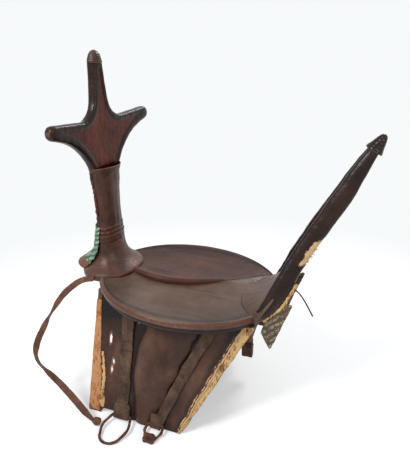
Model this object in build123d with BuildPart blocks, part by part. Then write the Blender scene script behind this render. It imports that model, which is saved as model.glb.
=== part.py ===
# Leather-covered wooden camel riding saddle with a cross-shaped pommel and a tall cantle.
# Millimetres, +Z up, +X towards the cantle (rear), +Y towards the rider's right.
# The origin is on the floor under the middle of the rigid saddle.
from math import atan2, cos, degrees, pi, radians, sin, tan
import os

from build123d import *

os.makedirs("parts", exist_ok=True)

# General clearances and cutting overrun
fit_gap = 0.3
overrun = 40.0
leather = 3.0
thin_leather = 2.0

# Seat: two boards side by side, each with its own leather cover
seat_length = 400.0
seat_width = 358.0
seat_height = 275.0
seat_tilt = 2.9
seat_rim_height = 13.0
seat_rim_round = 5.5
seat_leather = 2.5
seat_board_inset = 6.0
seat_board_thickness = 18.0
seat_lip = 3.0
seam_shares = (
    (-1.08, 0.15),
    (-0.65, -0.10),
    (-0.30, -0.17),
    (0.0, -0.10),
    (0.30, 0.06),
    (0.60, 0.30),
    (1.08, 0.82),
)
left_dish_depth = 11.0
left_dish_half_width = 95.0
left_dish_offset = 74.0
right_dish_depth = 5.0
right_dish_half_width = 78.0
right_dish_offset = 88.0
dish_half_length = 176.0

# Pommel: carved core, leather cross, neck sleeve and bell-shaped foot
pommel_setback = 190.0
pommel_height = 464.0
pommel_lean = 1.4
cross_twist = 4.9
cross_thickness = 20.0
cross_edge_round = 4.5
cross_rim_width = 11.0
cross_pocket_depth = 3.5
cross_panel_gap = 1.0
cross_core_thickness = 9.0
cross_core_inset = 8.0
prong_half_width = 17.5
prong_cap_overlap = 12.0
prong_cap_half_width = 23.0
prong_cap_half_depth = 13.5
shoulder_half_width = 29.0
shoulder_drop = 8.0
shoulder_round = 42.0
arm_reach = 175.0
arm_end_length = 15.0
arm_top_height = 335.0
arm_half_height = 13.5
arm_cap_length = 25.0
arm_cap_wall = 1.5
arm_cap_round = 5.0
armpit_half_width = 75.0
armpit_drop = 52.0
armpit_round = 150.0
neck_half_width = 37.0
neck_drop = 120.0
neck_core_half_depth = 11.0
neck_core_half_width = 23.0
sleeve_bottom_height = 65.0
sleeve_overlap = 13.0
cuff_height = 11.0
cuff_wall = 2.5
wrap_count = 3
wrap_pitch = 9.5
wrap_height = 8.0
wrap_round = 2.8
wrap_start_height = 74.0
wrap_half_depth = 26.5
wrap_half_width = 48.0
foot_half_length = 66.0
foot_half_width = 78.0
bib_half_length = 84.0
bib_half_width = 63.0
bib_tip_height = 4.0
bib_side_setback = 38.0
tenon_half_length = 12.0
tenon_half_width = 24.0
peg_radius = 4.5

# Cantle: leaning leaf-shaped back with two thick rounded rails
cantle_setback = 176.0
cantle_base_height = 264.0
cantle_rise = 328.0
cantle_run = 176.0
cantle_half_width = 94.0
cantle_depth = 35.0
rail_radius = 10.0
cantle_core_thickness = 14.0
cantle_cap_radius = 15.6
cantle_cap_length = 28.0
cantle_cap_round = 8.0
cantle_cap_taper = 13.0
apron_reach = 54.0
apron_rise = 46.0
apron_rear_reach = 5.0
welt_radius = 4.0
welt_stations = 3
flap_thickness = 3.5
flap_drop = 58.0

# Tree: splayed legs and boards under the seat, joined by two arched bridges
foot_half_spread = 168.0
splay = 16.2
leg_thickness = 14.0
leg_width = 28.0
front_leg_setback = 178.0
rear_leg_top_setback = 166.0
rear_leg_foot_setback = 39.0
rear_leg_top_height = 247.0
front_binding_width = 12.0
rear_rawhide_width = 22.0
side_board_front = 70.0
side_board_top_width = 120.0
side_board_middle_width = 76.0
side_board_foot_width = 24.0
side_board_top_bulge = 13.0
side_board_middle_bulge = 20.0
side_board_foot_bulge = 7.0
bridge_height = 40.0
bridge_arch = 14.0
bridge_block_half_width = 36.0
front_block_length = 27.0
rear_block_length = 38.0
cover_notch_length = 66.0
cover_notch_height = 18.0
cover_lift = 2.0

# Straps, rings and loops
strap_thickness = 4.0
front_strap_width = 29.0
front_strap_offset = 92.0
rear_strap_width = 23.0
rear_strap_top_offset = 97.0
rear_strap_foot_offset = 12.0
strap_end_height = 36.0
strap_end_thickness = 11.0
strap_lift = 4.0
eye_height = 10.5
thong_radius = 3.0
eye_clearance = 0.5
ring_length = 72.0
ring_half_width = 31.0
loop_length = 34.0
loop_half_width = 19.0
toggle_length = 18.0
toggle_width = 24.0
toggle_height = 13.0
toggle_round = 4.0
ring_corner_rounds = (6.0, 40.0, 22.0, 22.0, 40.0, 6.0)
loop_corner_rounds = (6.0, 16.0, 10.0, 10.0, 16.0, 6.0)
loop_widest_share = 0.45
loop_tip_share = 0.55
crupper_strap_width = 26.0
crupper_strap_length = 196.0
crupper_strap_setback = 118.0
crupper_strap_spread = 72.0

# Cords: the tie strap in front of the left leg and a thong behind the cantle
tie_radius = 3.5
tie_knot_radius = 9.0
cantle_thong_radius = 1.5
cord_arc_share = 0.45
cord_turn = 3.0

# Derived places
shoulder_height = arm_top_height - shoulder_drop
armpit_height = arm_top_height - armpit_drop
neck_height = arm_top_height - neck_drop
sleeve_top_height = neck_height + sleeve_overlap
lean = radians(pommel_lean)
front_reach = pommel_setback + bib_half_length * cos(lean) + bib_tip_height * sin(lean)
top_lean = atan2(cantle_run, cantle_rise)
cap_taper = radians(cantle_cap_taper)
cap_shoulder = cantle_cap_length - cantle_cap_round
cap_core_radius = cantle_cap_radius - cap_shoulder * tan(cap_taper) - cantle_cap_round / cos(cap_taper)
cap_overhang = cap_shoulder * sin(top_lean) + cap_core_radius * cos(top_lean) + cantle_cap_round
cap_reach = cantle_setback + cantle_run + cap_overhang
seat_x = (front_reach - cap_reach) / 2
seat_half_length = seat_length / 2
seat_half_width = seat_width / 2
seat_plane = Plane(origin=(seat_x, 0, seat_height)).rotated((0, seat_tilt, 0))
seat_underside = seat_plane.offset(-seat_leather - seat_board_thickness)


def finish(piece, name):
    """Label a finished piece and write it as one STEP file."""
    piece.part.label = name
    export_step(piece.part, f"parts/{name}.step")


def finish_pair(left_piece, name):
    """Write the left piece and its mirror image on the right side."""
    finish(left_piece, f"{name}_left")
    with BuildPart() as right_piece:
        mirror(left_piece.part, about=Plane.XZ)
    finish(right_piece, f"{name}_right")
    return right_piece


# Seat boards and covers
def dish_cutter(top_plane, side, depth, half_width, offset_from_seam):
    """Barrel that hollows one seat half by depth, elliptical in plan."""
    axis_height = (half_width**2 - depth**2) / (2 * depth)
    middle = top_plane.from_local_coords((0, side * offset_from_seam, 0))
    profile_plane = Plane(origin=middle, x_dir=top_plane.x_dir, z_dir=-top_plane.y_dir)
    spin_axis = Axis(profile_plane.from_local_coords((0, axis_height, 0)), top_plane.x_dir)
    with BuildPart() as cutter:
        with BuildSketch(profile_plane):
            with BuildLine():
                ThreePointArc((-dish_half_length, 0), (0, -depth), (dish_half_length, 0))
                Polyline(
                    (dish_half_length, 0),
                    (dish_half_length, axis_height),
                    (-dish_half_length, axis_height),
                    (-dish_half_length, 0),
                )
            make_face()
        revolve(axis=spin_axis)
    return cutter.part


def keep_half(side):
    """Keep the sketch on one side of the curved seam, half a gap from it."""
    seam = [
        (x_share * seat_half_length, y_share * seat_half_width + side * fit_gap / 2)
        for x_share, y_share in seam_shares
    ]
    outside = side * seat_width
    with BuildLine() as outline:
        Spline(*seam)
        Polyline(seam[-1], (seam[-1][0], outside), (seam[0][0], outside), seam[0])
    make_face(outline.edges(), mode=Mode.INTERSECT)


pommel_tenon_x = seat_x - pommel_setback
cantle_tenon_x = seat_x + cantle_setback + tenon_half_length
seat_boards = {}
seat_covers = {}
seat_halves = (
    ("left", -1, 0.0, left_dish_depth, left_dish_half_width, left_dish_offset),
    ("right", 1, seat_lip, right_dish_depth, right_dish_half_width, right_dish_offset),
)
for side_name, side, lift, depth, half_width, dish_offset in seat_halves:
    top_plane = seat_plane.offset(lift)
    board_plane = top_plane.offset(-seat_leather)
    tenon_holes = (pommel_tenon_x, cantle_tenon_x)

    with BuildPart() as seat_board:
        with BuildSketch(board_plane):
            Ellipse(seat_half_length - seat_board_inset, seat_half_width - seat_board_inset)
            keep_half(side)
        extrude(amount=-seat_board_thickness - lift)
        add(dish_cutter(board_plane, side, depth, half_width, dish_offset), mode=Mode.SUBTRACT)
        with BuildSketch(Plane.XY.offset(seat_height)):
            with Locations(*[(hole_x, 0) for hole_x in tenon_holes]):
                Rectangle(2 * tenon_half_length, 2 * tenon_half_width)
        extrude(amount=overrun, both=True, mode=Mode.SUBTRACT)
    finish(seat_board, f"seat_board_{side_name}")
    seat_boards[side_name] = seat_board

    with BuildPart() as seat_cover:
        with BuildSketch(top_plane):
            Ellipse(seat_half_length, seat_half_width)
            keep_half(side)
        extrude(amount=-seat_rim_height)
        fillet(seat_cover.edges().filter_by(GeomType.ELLIPSE), seat_rim_round)
        add(dish_cutter(top_plane, side, depth, half_width, dish_offset), mode=Mode.SUBTRACT)
        add(seat_board.part, mode=Mode.SUBTRACT)
        with BuildSketch(Plane.XY.offset(seat_height)):
            with Locations(*[(hole_x, 0) for hole_x in tenon_holes]):
                Rectangle(2 * tenon_half_length, 2 * tenon_half_width)
        extrude(amount=overrun, both=True, mode=Mode.SUBTRACT)
    finish(seat_cover, f"seat_cover_{side_name}")
    seat_covers[side_name] = seat_cover

# Pommel frame: foot plane on the seat, cross plane turned by the twist
foot_height = seat_height + pommel_setback * sin(radians(seat_tilt))
pommel_plane = Plane(origin=(pommel_tenon_x, 0, foot_height)).rotated((0, -pommel_lean, 0))
twist = radians(cross_twist)
pommel_axis = pommel_plane.z_dir
cross_plane = Plane(
    origin=pommel_plane.origin,
    x_dir=(sin(twist), cos(twist), sin(twist) * tan(lean)),
    z_dir=(cos(twist), -sin(twist), cos(twist) * tan(lean)),
)


def cross_face(inset, top_height, reach):
    """Cross outline, drawn inset from the real edge, as a face on the sketch's plane."""
    with BuildLine() as outline:
        FilletPolyline(
            (prong_half_width - inset, top_height),
            (shoulder_half_width - inset, shoulder_height - inset),
            (reach - arm_end_length, arm_top_height - inset),
            radius=shoulder_round + inset,
        )
        arm_bottom = arm_top_height - 2 * arm_half_height + inset
        ThreePointArc(
            (reach - arm_end_length, arm_top_height - inset),
            (reach - inset, arm_top_height - arm_half_height),
            (reach - arm_end_length, arm_bottom),
        )
        FilletPolyline(
            (reach - arm_end_length, arm_bottom),
            (armpit_half_width - inset / 2, armpit_height + inset),
            (neck_half_width - inset, neck_height),
            radius=armpit_round + inset,
        )
        Polyline(
            (neck_half_width - inset, neck_height),
            (0, neck_height),
            (0, top_height),
            (prong_half_width - inset, top_height),
        )
    make_face(outline.edges())
    mirror(about=Plane.YZ)


prong_top = pommel_height - prong_cap_overlap
with BuildPart() as pommel_core:
    with BuildSketch(cross_plane):
        cross_face(cross_core_inset, prong_top - cross_core_inset, arm_reach - cross_core_inset)
    extrude(amount=cross_core_thickness / 2, both=True)
    with BuildSketch(pommel_plane):
        Ellipse(neck_core_half_depth, neck_core_half_width)
    extrude(amount=neck_height + cross_core_inset)
    with BuildSketch(Plane.XY.offset(foot_height)):
        with Locations((pommel_tenon_x, 0)):
            Rectangle(2 * tenon_half_length - fit_gap, 2 * tenon_half_width - fit_gap)
    extrude(amount=-seat_leather - seat_board_thickness - bridge_height)

with BuildPart() as cross_cover:
    with BuildSketch(cross_plane):
        cross_face(0, prong_top, arm_reach)
    extrude(amount=cross_thickness / 2, both=True)
    broad_faces = cross_cover.faces().filter_by(Axis(cross_plane.origin, cross_plane.z_dir))
    fillet(broad_faces.edges(), cross_edge_round)
    for face_side in (1, -1):
        with BuildSketch(cross_plane.offset(face_side * (cross_thickness / 2 - cross_pocket_depth))):
            cross_face(cross_rim_width, prong_top - 2 * cross_rim_width, arm_reach - 2 * cross_rim_width)
        extrude(amount=face_side * overrun, mode=Mode.SUBTRACT)
    add(pommel_core.part, mode=Mode.SUBTRACT)
finish(cross_cover, "cross_cover")

panel_inset = cross_rim_width + cross_panel_gap
for panel_name, face_side in (("back", 1), ("front", -1)):
    with BuildPart() as cross_panel:
        with BuildSketch(cross_plane.offset(face_side * (cross_thickness / 2 - cross_pocket_depth))):
            cross_face(panel_inset, prong_top - 2 * panel_inset, arm_reach - 2 * panel_inset)
        extrude(amount=face_side * thin_leather)
        split(bisect_by=pommel_plane.offset(sleeve_top_height + 2 * cuff_wall), keep=Keep.TOP)
    finish(cross_panel, f"cross_panel_{panel_name}")

with BuildPart() as top_prong_cap:
    cap_shares = ((0, 1.0, 1.0), (0.45, 0.86, 0.9), (0.8, 0.62, 0.7), (1.0, 0.4, 0.45))
    cap_height = prong_cap_overlap * 2
    for rise_share, width_share, depth_share in cap_shares:
        cap_plane = Plane(
            origin=pommel_plane.from_local_coords((0, 0, pommel_height - cap_height * (1 - rise_share))),
            x_dir=cross_plane.x_dir,
            z_dir=pommel_axis,
        )
        with BuildSketch(cap_plane):
            Ellipse(prong_cap_half_width * width_share, prong_cap_half_depth * depth_share)
    loft()
    add(cross_cover.part, mode=Mode.SUBTRACT)
    add(pommel_core.part, mode=Mode.SUBTRACT)
finish(top_prong_cap, "top_prong_cap")

arm_middle_height = arm_top_height - arm_half_height
for side_name, side in (("left", -1), ("right", 1)):
    with BuildPart() as arm_cap:
        cap_origin = cross_plane.from_local_coords(
            (side * (arm_reach + arm_cap_wall), arm_middle_height, 0)
        )
        cap_plane = Plane(
            origin=cap_origin, x_dir=cross_plane.z_dir, z_dir=-side * cross_plane.x_dir
        )
        with BuildSketch(cap_plane):
            Ellipse(cross_thickness / 2 + arm_cap_wall, arm_half_height + arm_cap_wall)
        extrude(amount=arm_cap_length)
        outer_face = arm_cap.faces().sort_by(Axis.Y)[0 if side < 0 else -1]
        fillet(outer_face.edges(), arm_cap_round)
        add(cross_cover.part, mode=Mode.SUBTRACT)
        add(pommel_core.part, mode=Mode.SUBTRACT)
    finish(arm_cap, f"arm_cap_{side_name}")

# Neck sleeve, as (height share, half depth, half width as shares of the neck's half width)
sleeve_span = sleeve_top_height - sleeve_bottom_height
sleeve_shares = (
    (0.0, 0.65, 1.13),
    (0.18, 0.60, 1.03),
    (0.40, 0.58, 0.97),
    (0.65, 0.60, 1.00),
    (0.86, 0.68, 1.11),
    (1.0, 0.73, 1.19),
)
with BuildPart() as pommel_sleeve:
    for rise_share, depth_share, width_share in sleeve_shares:
        with BuildSketch(pommel_plane.offset(sleeve_bottom_height + rise_share * sleeve_span)):
            Ellipse(neck_half_width * depth_share, neck_half_width * width_share)
    loft()
    add(pommel_core.part, mode=Mode.SUBTRACT)
    add(cross_cover.part, mode=Mode.SUBTRACT)
finish(pommel_sleeve, "pommel_sleeve")

top_depth_share, top_width_share = sleeve_shares[-1][1:]
with BuildPart() as sleeve_cuff:
    with BuildSketch(pommel_plane.offset(sleeve_top_height + cuff_wall)):
        Ellipse(
            neck_half_width * top_depth_share + cuff_wall,
            neck_half_width * top_width_share + cuff_wall,
        )
    extrude(amount=-cuff_height)
    fillet(sleeve_cuff.edges(), cuff_wall / 2)
    with BuildSketch(pommel_plane.offset(sleeve_top_height + cuff_wall)):
        Ellipse(neck_half_width * top_depth_share, neck_half_width * top_width_share)
    extrude(amount=-cuff_height, mode=Mode.SUBTRACT)
    add(cross_cover.part, mode=Mode.SUBTRACT)
finish(sleeve_cuff, "sleeve_cuff")

with BuildPart() as neck_wraps:
    for turn in range(wrap_count):
        with BuildSketch(pommel_plane.offset(wrap_start_height + turn * wrap_pitch)):
            Ellipse(wrap_half_depth, wrap_half_width)
        extrude(amount=wrap_height)
    fillet(neck_wraps.edges(), wrap_round)
    add(pommel_sleeve.part, mode=Mode.SUBTRACT)
    add(pommel_core.part, mode=Mode.SUBTRACT)
finish(neck_wraps, "neck_wraps")

# Bell-shaped foot, as (height share of the sleeve's bottom, half length share, half width share)
foot_shares = ((0.0, 1.0, 1.0), (0.06, 0.93, 0.94), (0.24, 0.68, 0.74), (0.55, 0.46, 0.56))
with BuildPart() as pommel_foot:
    for rise_share, length_share, width_share in foot_shares:
        with BuildSketch(pommel_plane.offset(rise_share * sleeve_bottom_height)):
            Ellipse(foot_half_length * length_share, foot_half_width * width_share)
    with BuildSketch(pommel_plane.offset(sleeve_bottom_height)):
        Ellipse(neck_half_width * sleeve_shares[0][1], neck_half_width * sleeve_shares[0][2])
    loft()
    with BuildSketch(pommel_plane):
        Ellipse(foot_half_length, foot_half_width)
    extrude(amount=-seat_rim_height)
    for half_name in ("left", "right"):
        add(seat_covers[half_name].part, mode=Mode.SUBTRACT)
        add(seat_boards[half_name].part, mode=Mode.SUBTRACT)
    add(pommel_core.part, mode=Mode.SUBTRACT)
finish(pommel_foot, "pommel_foot")

# Flared bib in front of the foot: (height share, half length share, half width share, corner share)
bib_shares = (
    (0.0, 1.0, 1.0, 0.1),
    (0.2, 0.83, 0.94, 0.25),
    (0.53, 0.58, 0.84, 0.6),
    (1.0, 0.335, 0.72, 0.9),
)
bib_span = sleeve_bottom_height - fit_gap - bib_tip_height
with BuildPart() as pommel_bib:
    for skin, skin_mode in ((0.0, Mode.ADD), (leather, Mode.SUBTRACT)):
        for rise_share, length_share, width_share, corner_share in bib_shares:
            half_length = bib_half_length * length_share - skin
            with BuildSketch(pommel_plane.offset(bib_tip_height + rise_share * bib_span)):
                RectangleRounded(
                    2 * half_length,
                    2 * (bib_half_width * width_share - skin),
                    half_length * corner_share,
                )
        loft(mode=skin_mode)
    side_cut = Plane(
        origin=pommel_plane.from_local_coords((0, 0, sleeve_bottom_height)),
        z_dir=pommel_plane.x_dir * sleeve_bottom_height - pommel_plane.z_dir * bib_side_setback,
    )
    split(bisect_by=side_cut, keep=Keep.BOTTOM)
finish(pommel_bib, "pommel_bib")

# Cantle stations: rise, run, half width, depth and rail radius as shares
station_shares = (
    (0.0, 0.0, 1.0, 0.45, 0.7),
    (0.11, 0.15, 0.93, 0.95, 1.0),
    (0.25, 0.27, 0.77, 1.0, 1.0),
    (0.47, 0.47, 0.52, 0.97, 1.0),
    (0.69, 0.70, 0.38, 1.0, 1.0),
    (0.87, 0.87, 0.28, 0.83, 0.92),
    (1.0, 1.0, 0.145, 0.56, 0.65),
)
stations = [
    Vector(seat_x + cantle_setback + run * cantle_run, 0, cantle_base_height + rise * cantle_rise)
    for rise, run, width, depth, radius in station_shares
]


def station_plane(index, sideways):
    """Plane square to the cantle's line at one station, local x towards the back."""
    before = stations[max(index - 1, 0)]
    after = stations[min(index + 1, len(stations) - 1)]
    along = (after - before).normalized()
    return Plane(
        origin=stations[index] + Vector(0, sideways, 0),
        x_dir=(along.Z, 0, -along.X),
        z_dir=along,
    )


with BuildPart() as cantle_rail_left:
    for index, (rise, run, width, depth, radius) in enumerate(station_shares):
        rail_y = cantle_half_width * width - rail_radius * radius
        with BuildSketch(station_plane(index, -rail_y)):
            Ellipse(cantle_depth * depth / 2, rail_radius * radius)
    loft()
    split(bisect_by=Plane.XZ.offset(fit_gap / 2), keep=Keep.TOP)
with BuildPart() as cantle_rail_right:
    mirror(cantle_rail_left.part, about=Plane.XZ)
    for half_name in ("left", "right"):
        add(seat_covers[half_name].part, mode=Mode.SUBTRACT)
with cantle_rail_left:
    add(seat_covers["left"].part, mode=Mode.SUBTRACT)
finish(cantle_rail_left, "cantle_rail_left")
finish(cantle_rail_right, "cantle_rail_right")


def cantle_sheet(first, last, thickness, shift, foot_depth):
    """Sheet between the rails from one station to another, moved back by shift."""
    with BuildPart() as sheet:
        for index in range(first, last + 1):
            rise, run, width, depth, radius = station_shares[index]
            half = cantle_half_width * width - rail_radius * radius
            with BuildSketch(station_plane(index, 0)):
                with Locations((shift, 0)):
                    Rectangle(thickness, 2 * half)
        loft(ruled=True)
        if foot_depth:
            with BuildSketch(Plane.XY.offset(cantle_base_height + leg_thickness)):
                with Locations((cantle_tenon_x, 0)):
                    Rectangle(2 * tenon_half_length - fit_gap, 2 * tenon_half_width - fit_gap)
            extrude(amount=-foot_depth)
        add(cantle_rail_left.part, mode=Mode.SUBTRACT)
        add(cantle_rail_right.part, mode=Mode.SUBTRACT)
        for half_name in ("left", "right"):
            add(seat_covers[half_name].part, mode=Mode.SUBTRACT)
            add(seat_boards[half_name].part, mode=Mode.SUBTRACT)
    return sheet


last_station = len(stations) - 1
tenon_drop = leg_thickness + seat_rim_height + seat_board_thickness + bridge_height / 2
cantle_core = cantle_sheet(0, last_station - 1, cantle_core_thickness, 0, tenon_drop)
skin_shift = (cantle_core_thickness + leather) / 2
cantle_front_panel = cantle_sheet(1, last_station - 1, leather, -skin_shift, 0)
finish(cantle_front_panel, "cantle_front_panel")
cantle_back_panel = cantle_sheet(1, last_station - 1, leather, skin_shift, 0)
finish(cantle_back_panel, "cantle_back_panel")

top_plane = station_plane(last_station, 0)
with BuildPart() as cantle_cap:
    with BuildSketch(top_plane):
        Circle(cantle_cap_radius)
    extrude(amount=cantle_cap_length, taper=cantle_cap_taper)
    fillet(cantle_cap.faces().sort_by(Axis.Z)[-1].edges(), cantle_cap_round)
finish(cantle_cap, "cantle_cap")

# Leather apron that wraps the cantle's foot: (rise share, reach share, width share)
apron_shares = ((0.0, 1.0, 1.1), (0.3, 0.52, 1.05), (1.0, 0.12, 0.97))


def apron_face(rise_share, reach_share, width_share):
    """Plan of the apron at one height, arched in front and straight behind."""
    half = cantle_half_width * width_share
    front_x = cantle_setback + rise_share * apron_rise * cantle_run / cantle_rise
    rear_x = front_x + apron_rear_reach
    with BuildLine() as outline:
        ThreePointArc((front_x, -half), (front_x - apron_reach * reach_share, 0), (front_x, half))
        Polyline((front_x, half), (rear_x, half), (rear_x, -half), (front_x, -half))
    make_face(outline.edges())


with BuildPart() as cantle_apron:
    for apron_row in apron_shares:
        with BuildSketch(seat_plane.offset(apron_row[0] * apron_rise)):
            apron_face(*apron_row)
    loft()
    with BuildSketch(seat_plane):
        apron_face(*apron_shares[0])
    extrude(amount=-seat_rim_height)
    for neighbour in (cantle_rail_left, cantle_rail_right, cantle_core, cantle_front_panel):
        add(neighbour.part, mode=Mode.SUBTRACT)
    add(cantle_back_panel.part, mode=Mode.SUBTRACT)
    for half_name in ("left", "right"):
        add(seat_covers[half_name].part, mode=Mode.SUBTRACT)
        add(seat_boards[half_name].part, mode=Mode.SUBTRACT)
    for crumb in cantle_apron.solids().sort_by(SortBy.VOLUME)[:-1]:
        add(crumb, mode=Mode.SUBTRACT)
finish(cantle_apron, "cantle_apron")

# Rolled welt behind each rail in two straight runs; the decorated flap swings on the lower one
welt_points = []
for index in range(welt_stations):
    rise, run, width, depth, radius = station_shares[index]
    behind = cantle_depth * depth / 2 + welt_radius
    rail_y = cantle_half_width * width - rail_radius * radius
    welt_points.append(station_plane(index, -rail_y).from_local_coords((behind, 0, 0)))
welt_start = welt_points[0]
welt_direction = (welt_points[1] - welt_start).normalized()
hinge_length = (welt_points[1] - welt_start).length
with BuildPart() as cantle_welt_left:
    for low, high in zip(welt_points, welt_points[1:]):
        with BuildSketch(Plane(origin=low, z_dir=high - low)):
            Circle(welt_radius)
        extrude(amount=(high - low).length)
    with Locations(welt_points[1]):
        Sphere(welt_radius)
    add(cantle_rail_left.part, mode=Mode.SUBTRACT)
    add(seat_covers["left"].part, mode=Mode.SUBTRACT)
    add(cantle_apron.part, mode=Mode.SUBTRACT)
finish_pair(cantle_welt_left, "cantle_welt")

# Flap outline as shares of the hinge's length and of the flap's drop, below its hinged edge
flap_shares = ((1.36, 0.18), (0.64, 0.48), (0.06, 0.74), (-0.53, 1.0), (-0.64, 0.98), (-0.41, 0.31))
flap_top_share = 1.31
outward = Vector(welt_direction.Y, -welt_direction.X, 0).normalized()
flap_plane = Plane(origin=welt_start, x_dir=welt_direction, z_dir=outward)
flap_top = -welt_radius - fit_gap
with BuildPart() as rear_flap_left:
    with BuildSketch(flap_plane):
        with BuildLine():
            Polyline(
                (0, flap_top),
                (hinge_length * flap_top_share, flap_top),
                *[(hinge_length * along, -flap_drop * drop) for along, drop in flap_shares],
                (0, flap_top),
            )
        make_face()
    extrude(amount=flap_thickness / 2, both=True)
finish_pair(rear_flap_left, "rear_flap")

# Tree: everything on a side is drawn on the leaning side plane, local y up the slope
splay_angle = radians(splay)
side_plane = Plane(
    origin=(seat_x, -foot_half_spread, 0),
    x_dir=(1, 0, 0),
    z_dir=(0, -cos(splay_angle), sin(splay_angle)),
)
slope_top = (seat_height + overrun) / cos(splay_angle)
rear_slope = (rear_leg_top_setback - rear_leg_foot_setback) / rear_leg_top_height


def trim_to_tree(lift):
    """Cut the current part level with the seat's underside and the floor."""
    split(bisect_by=seat_underside, keep=Keep.BOTTOM)
    split(bisect_by=Plane.XY.offset(lift), keep=Keep.TOP)


def rear_edge(height):
    """Distance behind the seat's middle of the rear leg's rear edge, at a height up the slope."""
    return rear_leg_foot_setback + rear_slope * height


def leaning_strip(foot_x, width, thickness, lift, shift=0.0, slope=0.0):
    """Strip on the side plane from floor to seat; slope moves it back as it rises."""
    with BuildPart() as strip:
        with BuildSketch(side_plane.offset(shift)):
            with BuildLine():
                low, high = -overrun, slope_top
                Polyline(
                    (foot_x + slope * low, low),
                    (foot_x + width + slope * low, low),
                    (foot_x + width + slope * high, high),
                    (foot_x + slope * high, high),
                    (foot_x + slope * low, low),
                )
            make_face()
        extrude(amount=thickness)
        trim_to_tree(lift)
    return strip


front_leg_left = leaning_strip(-front_leg_setback, leg_width, -leg_thickness, 0)
finish_pair(front_leg_left, "front_leg")
rear_leg_left = leaning_strip(
    rear_leg_foot_setback - leg_width, leg_width, -leg_thickness, 0, slope=rear_slope
)
finish_pair(rear_leg_left, "rear_leg")

# Side board: a curved plank, wide under the seat and narrow at the floor
seat_underside_slope = (seat_height - seat_leather - seat_board_thickness) / cos(splay_angle)
board_sections = (
    (-overrun, side_board_foot_width, side_board_foot_bulge),
    (seat_underside_slope / 2, side_board_middle_width, side_board_middle_bulge),
    (slope_top, side_board_top_width, side_board_top_bulge),
)


def bulged_board(skin):
    """Loft of arched plank sections up the side plane; skin thickens it outwards."""
    with BuildPart() as board:
        for height, width, bulge in board_sections:
            section_plane = Plane(
                origin=side_plane.from_local_coords((-side_board_front, height, 0)),
                x_dir=side_plane.x_dir,
                z_dir=side_plane.y_dir,
            )
            with BuildSketch(section_plane):
                with BuildLine():
                    ThreePointArc((-skin, 0), (width / 2, -bulge - skin), (width + skin, 0))
                    Polyline(
                        (width + skin, 0),
                        (width + skin, leg_thickness),
                        (-skin, leg_thickness),
                        (-skin, 0),
                    )
                make_face()
        loft()
        trim_to_tree(0)
    return board


side_board_left = bulged_board(0)
finish_pair(side_board_left, "side_board")

notch_start = -front_leg_setback + leg_width
with BuildPart() as side_cover_left:
    with BuildSketch(side_plane):
        with BuildLine():
            cover_front = -front_leg_setback + front_binding_width
            cover_back = -rear_rawhide_width
            Polyline(
                (cover_front, -overrun),
                (rear_edge(-overrun) + cover_back, -overrun),
                (rear_edge(slope_top) + cover_back, slope_top),
                (cover_front, slope_top),
                (cover_front, -overrun),
            )
        make_face()
    extrude(amount=leather)
    with BuildSketch(side_plane):
        with Locations((notch_start, 0)):
            Rectangle(cover_notch_length, 2 * cover_notch_height, align=(Align.MIN, Align.CENTER))
    extrude(amount=leather, mode=Mode.SUBTRACT)
    add(bulged_board(leather).part)
    with BuildSketch(side_plane):
        Rectangle(seat_length * 2, slope_top * 2)
    extrude(amount=-leg_thickness - overrun, mode=Mode.SUBTRACT)
    add(side_board_left.part, mode=Mode.SUBTRACT)
    trim_to_tree(cover_lift)
finish_pair(side_cover_left, "side_cover")

# Bridges: arched blocks under the seat between the legs, each with a bored block for a tenon
def bridge(start_x, block_x, block_length, tenon_x):
    """Arched bridge as long as a leg is wide, with its tenon block and peg."""
    top = seat_height + overrun
    seat_bottom = seat_underside.origin.Z - (start_x + leg_width / 2) * tan(radians(seat_tilt))
    bottom = seat_bottom - bridge_height
    inner_foot = foot_half_spread - leg_thickness / cos(splay_angle)
    half_bottom = inner_foot - bottom * tan(splay_angle)
    half_top = inner_foot - top * tan(splay_angle)
    peg_plane = Plane.YZ.offset(seat_x + min(start_x, block_x))
    peg_place = (0, seat_bottom - (bridge_height - bridge_arch) / 2)
    peg_length = leg_width + block_length
    with BuildPart() as block:
        with BuildSketch(Plane.YZ.offset(seat_x + start_x)):
            with BuildLine():
                ThreePointArc((-half_bottom, bottom), (0, bottom + bridge_arch), (half_bottom, bottom))
                Polyline(
                    (half_bottom, bottom), (half_top, top), (-half_top, top), (-half_bottom, bottom)
                )
            make_face()
        extrude(amount=leg_width)
        with BuildSketch(Plane.YZ.offset(seat_x + block_x)):
            with Locations((0, top)):
                Rectangle(
                    2 * bridge_block_half_width,
                    top - bottom - bridge_arch / 2,
                    align=(Align.CENTER, Align.MAX),
                )
        extrude(amount=block_length)
        split(bisect_by=seat_underside, keep=Keep.BOTTOM)
        with BuildSketch(Plane.XY.offset(seat_height)):
            with Locations((tenon_x, 0)):
                Rectangle(2 * tenon_half_length, 2 * tenon_half_width)
        extrude(amount=-seat_height, mode=Mode.SUBTRACT)
        with BuildSketch(peg_plane):
            with Locations(peg_place):
                Circle(peg_radius)
        extrude(amount=peg_length, mode=Mode.SUBTRACT)
    with BuildPart() as peg:
        with BuildSketch(peg_plane):
            with Locations(peg_place):
                Circle(peg_radius - fit_gap / 2)
        extrude(amount=peg_length)
    return block, peg


front_block_x = -front_leg_setback - front_block_length
front_bridge, pommel_peg = bridge(-front_leg_setback, front_block_x, front_block_length, pommel_tenon_x)
rear_block_x = rear_edge(rear_leg_top_height)
rear_bridge, cantle_peg = bridge(rear_block_x - leg_width, rear_block_x, rear_block_length, cantle_tenon_x)
finish(front_bridge, "front_bridge")
finish(rear_bridge, "rear_bridge")
finish(pommel_peg, "pommel_peg")
finish(cantle_peg, "cantle_peg")


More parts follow.
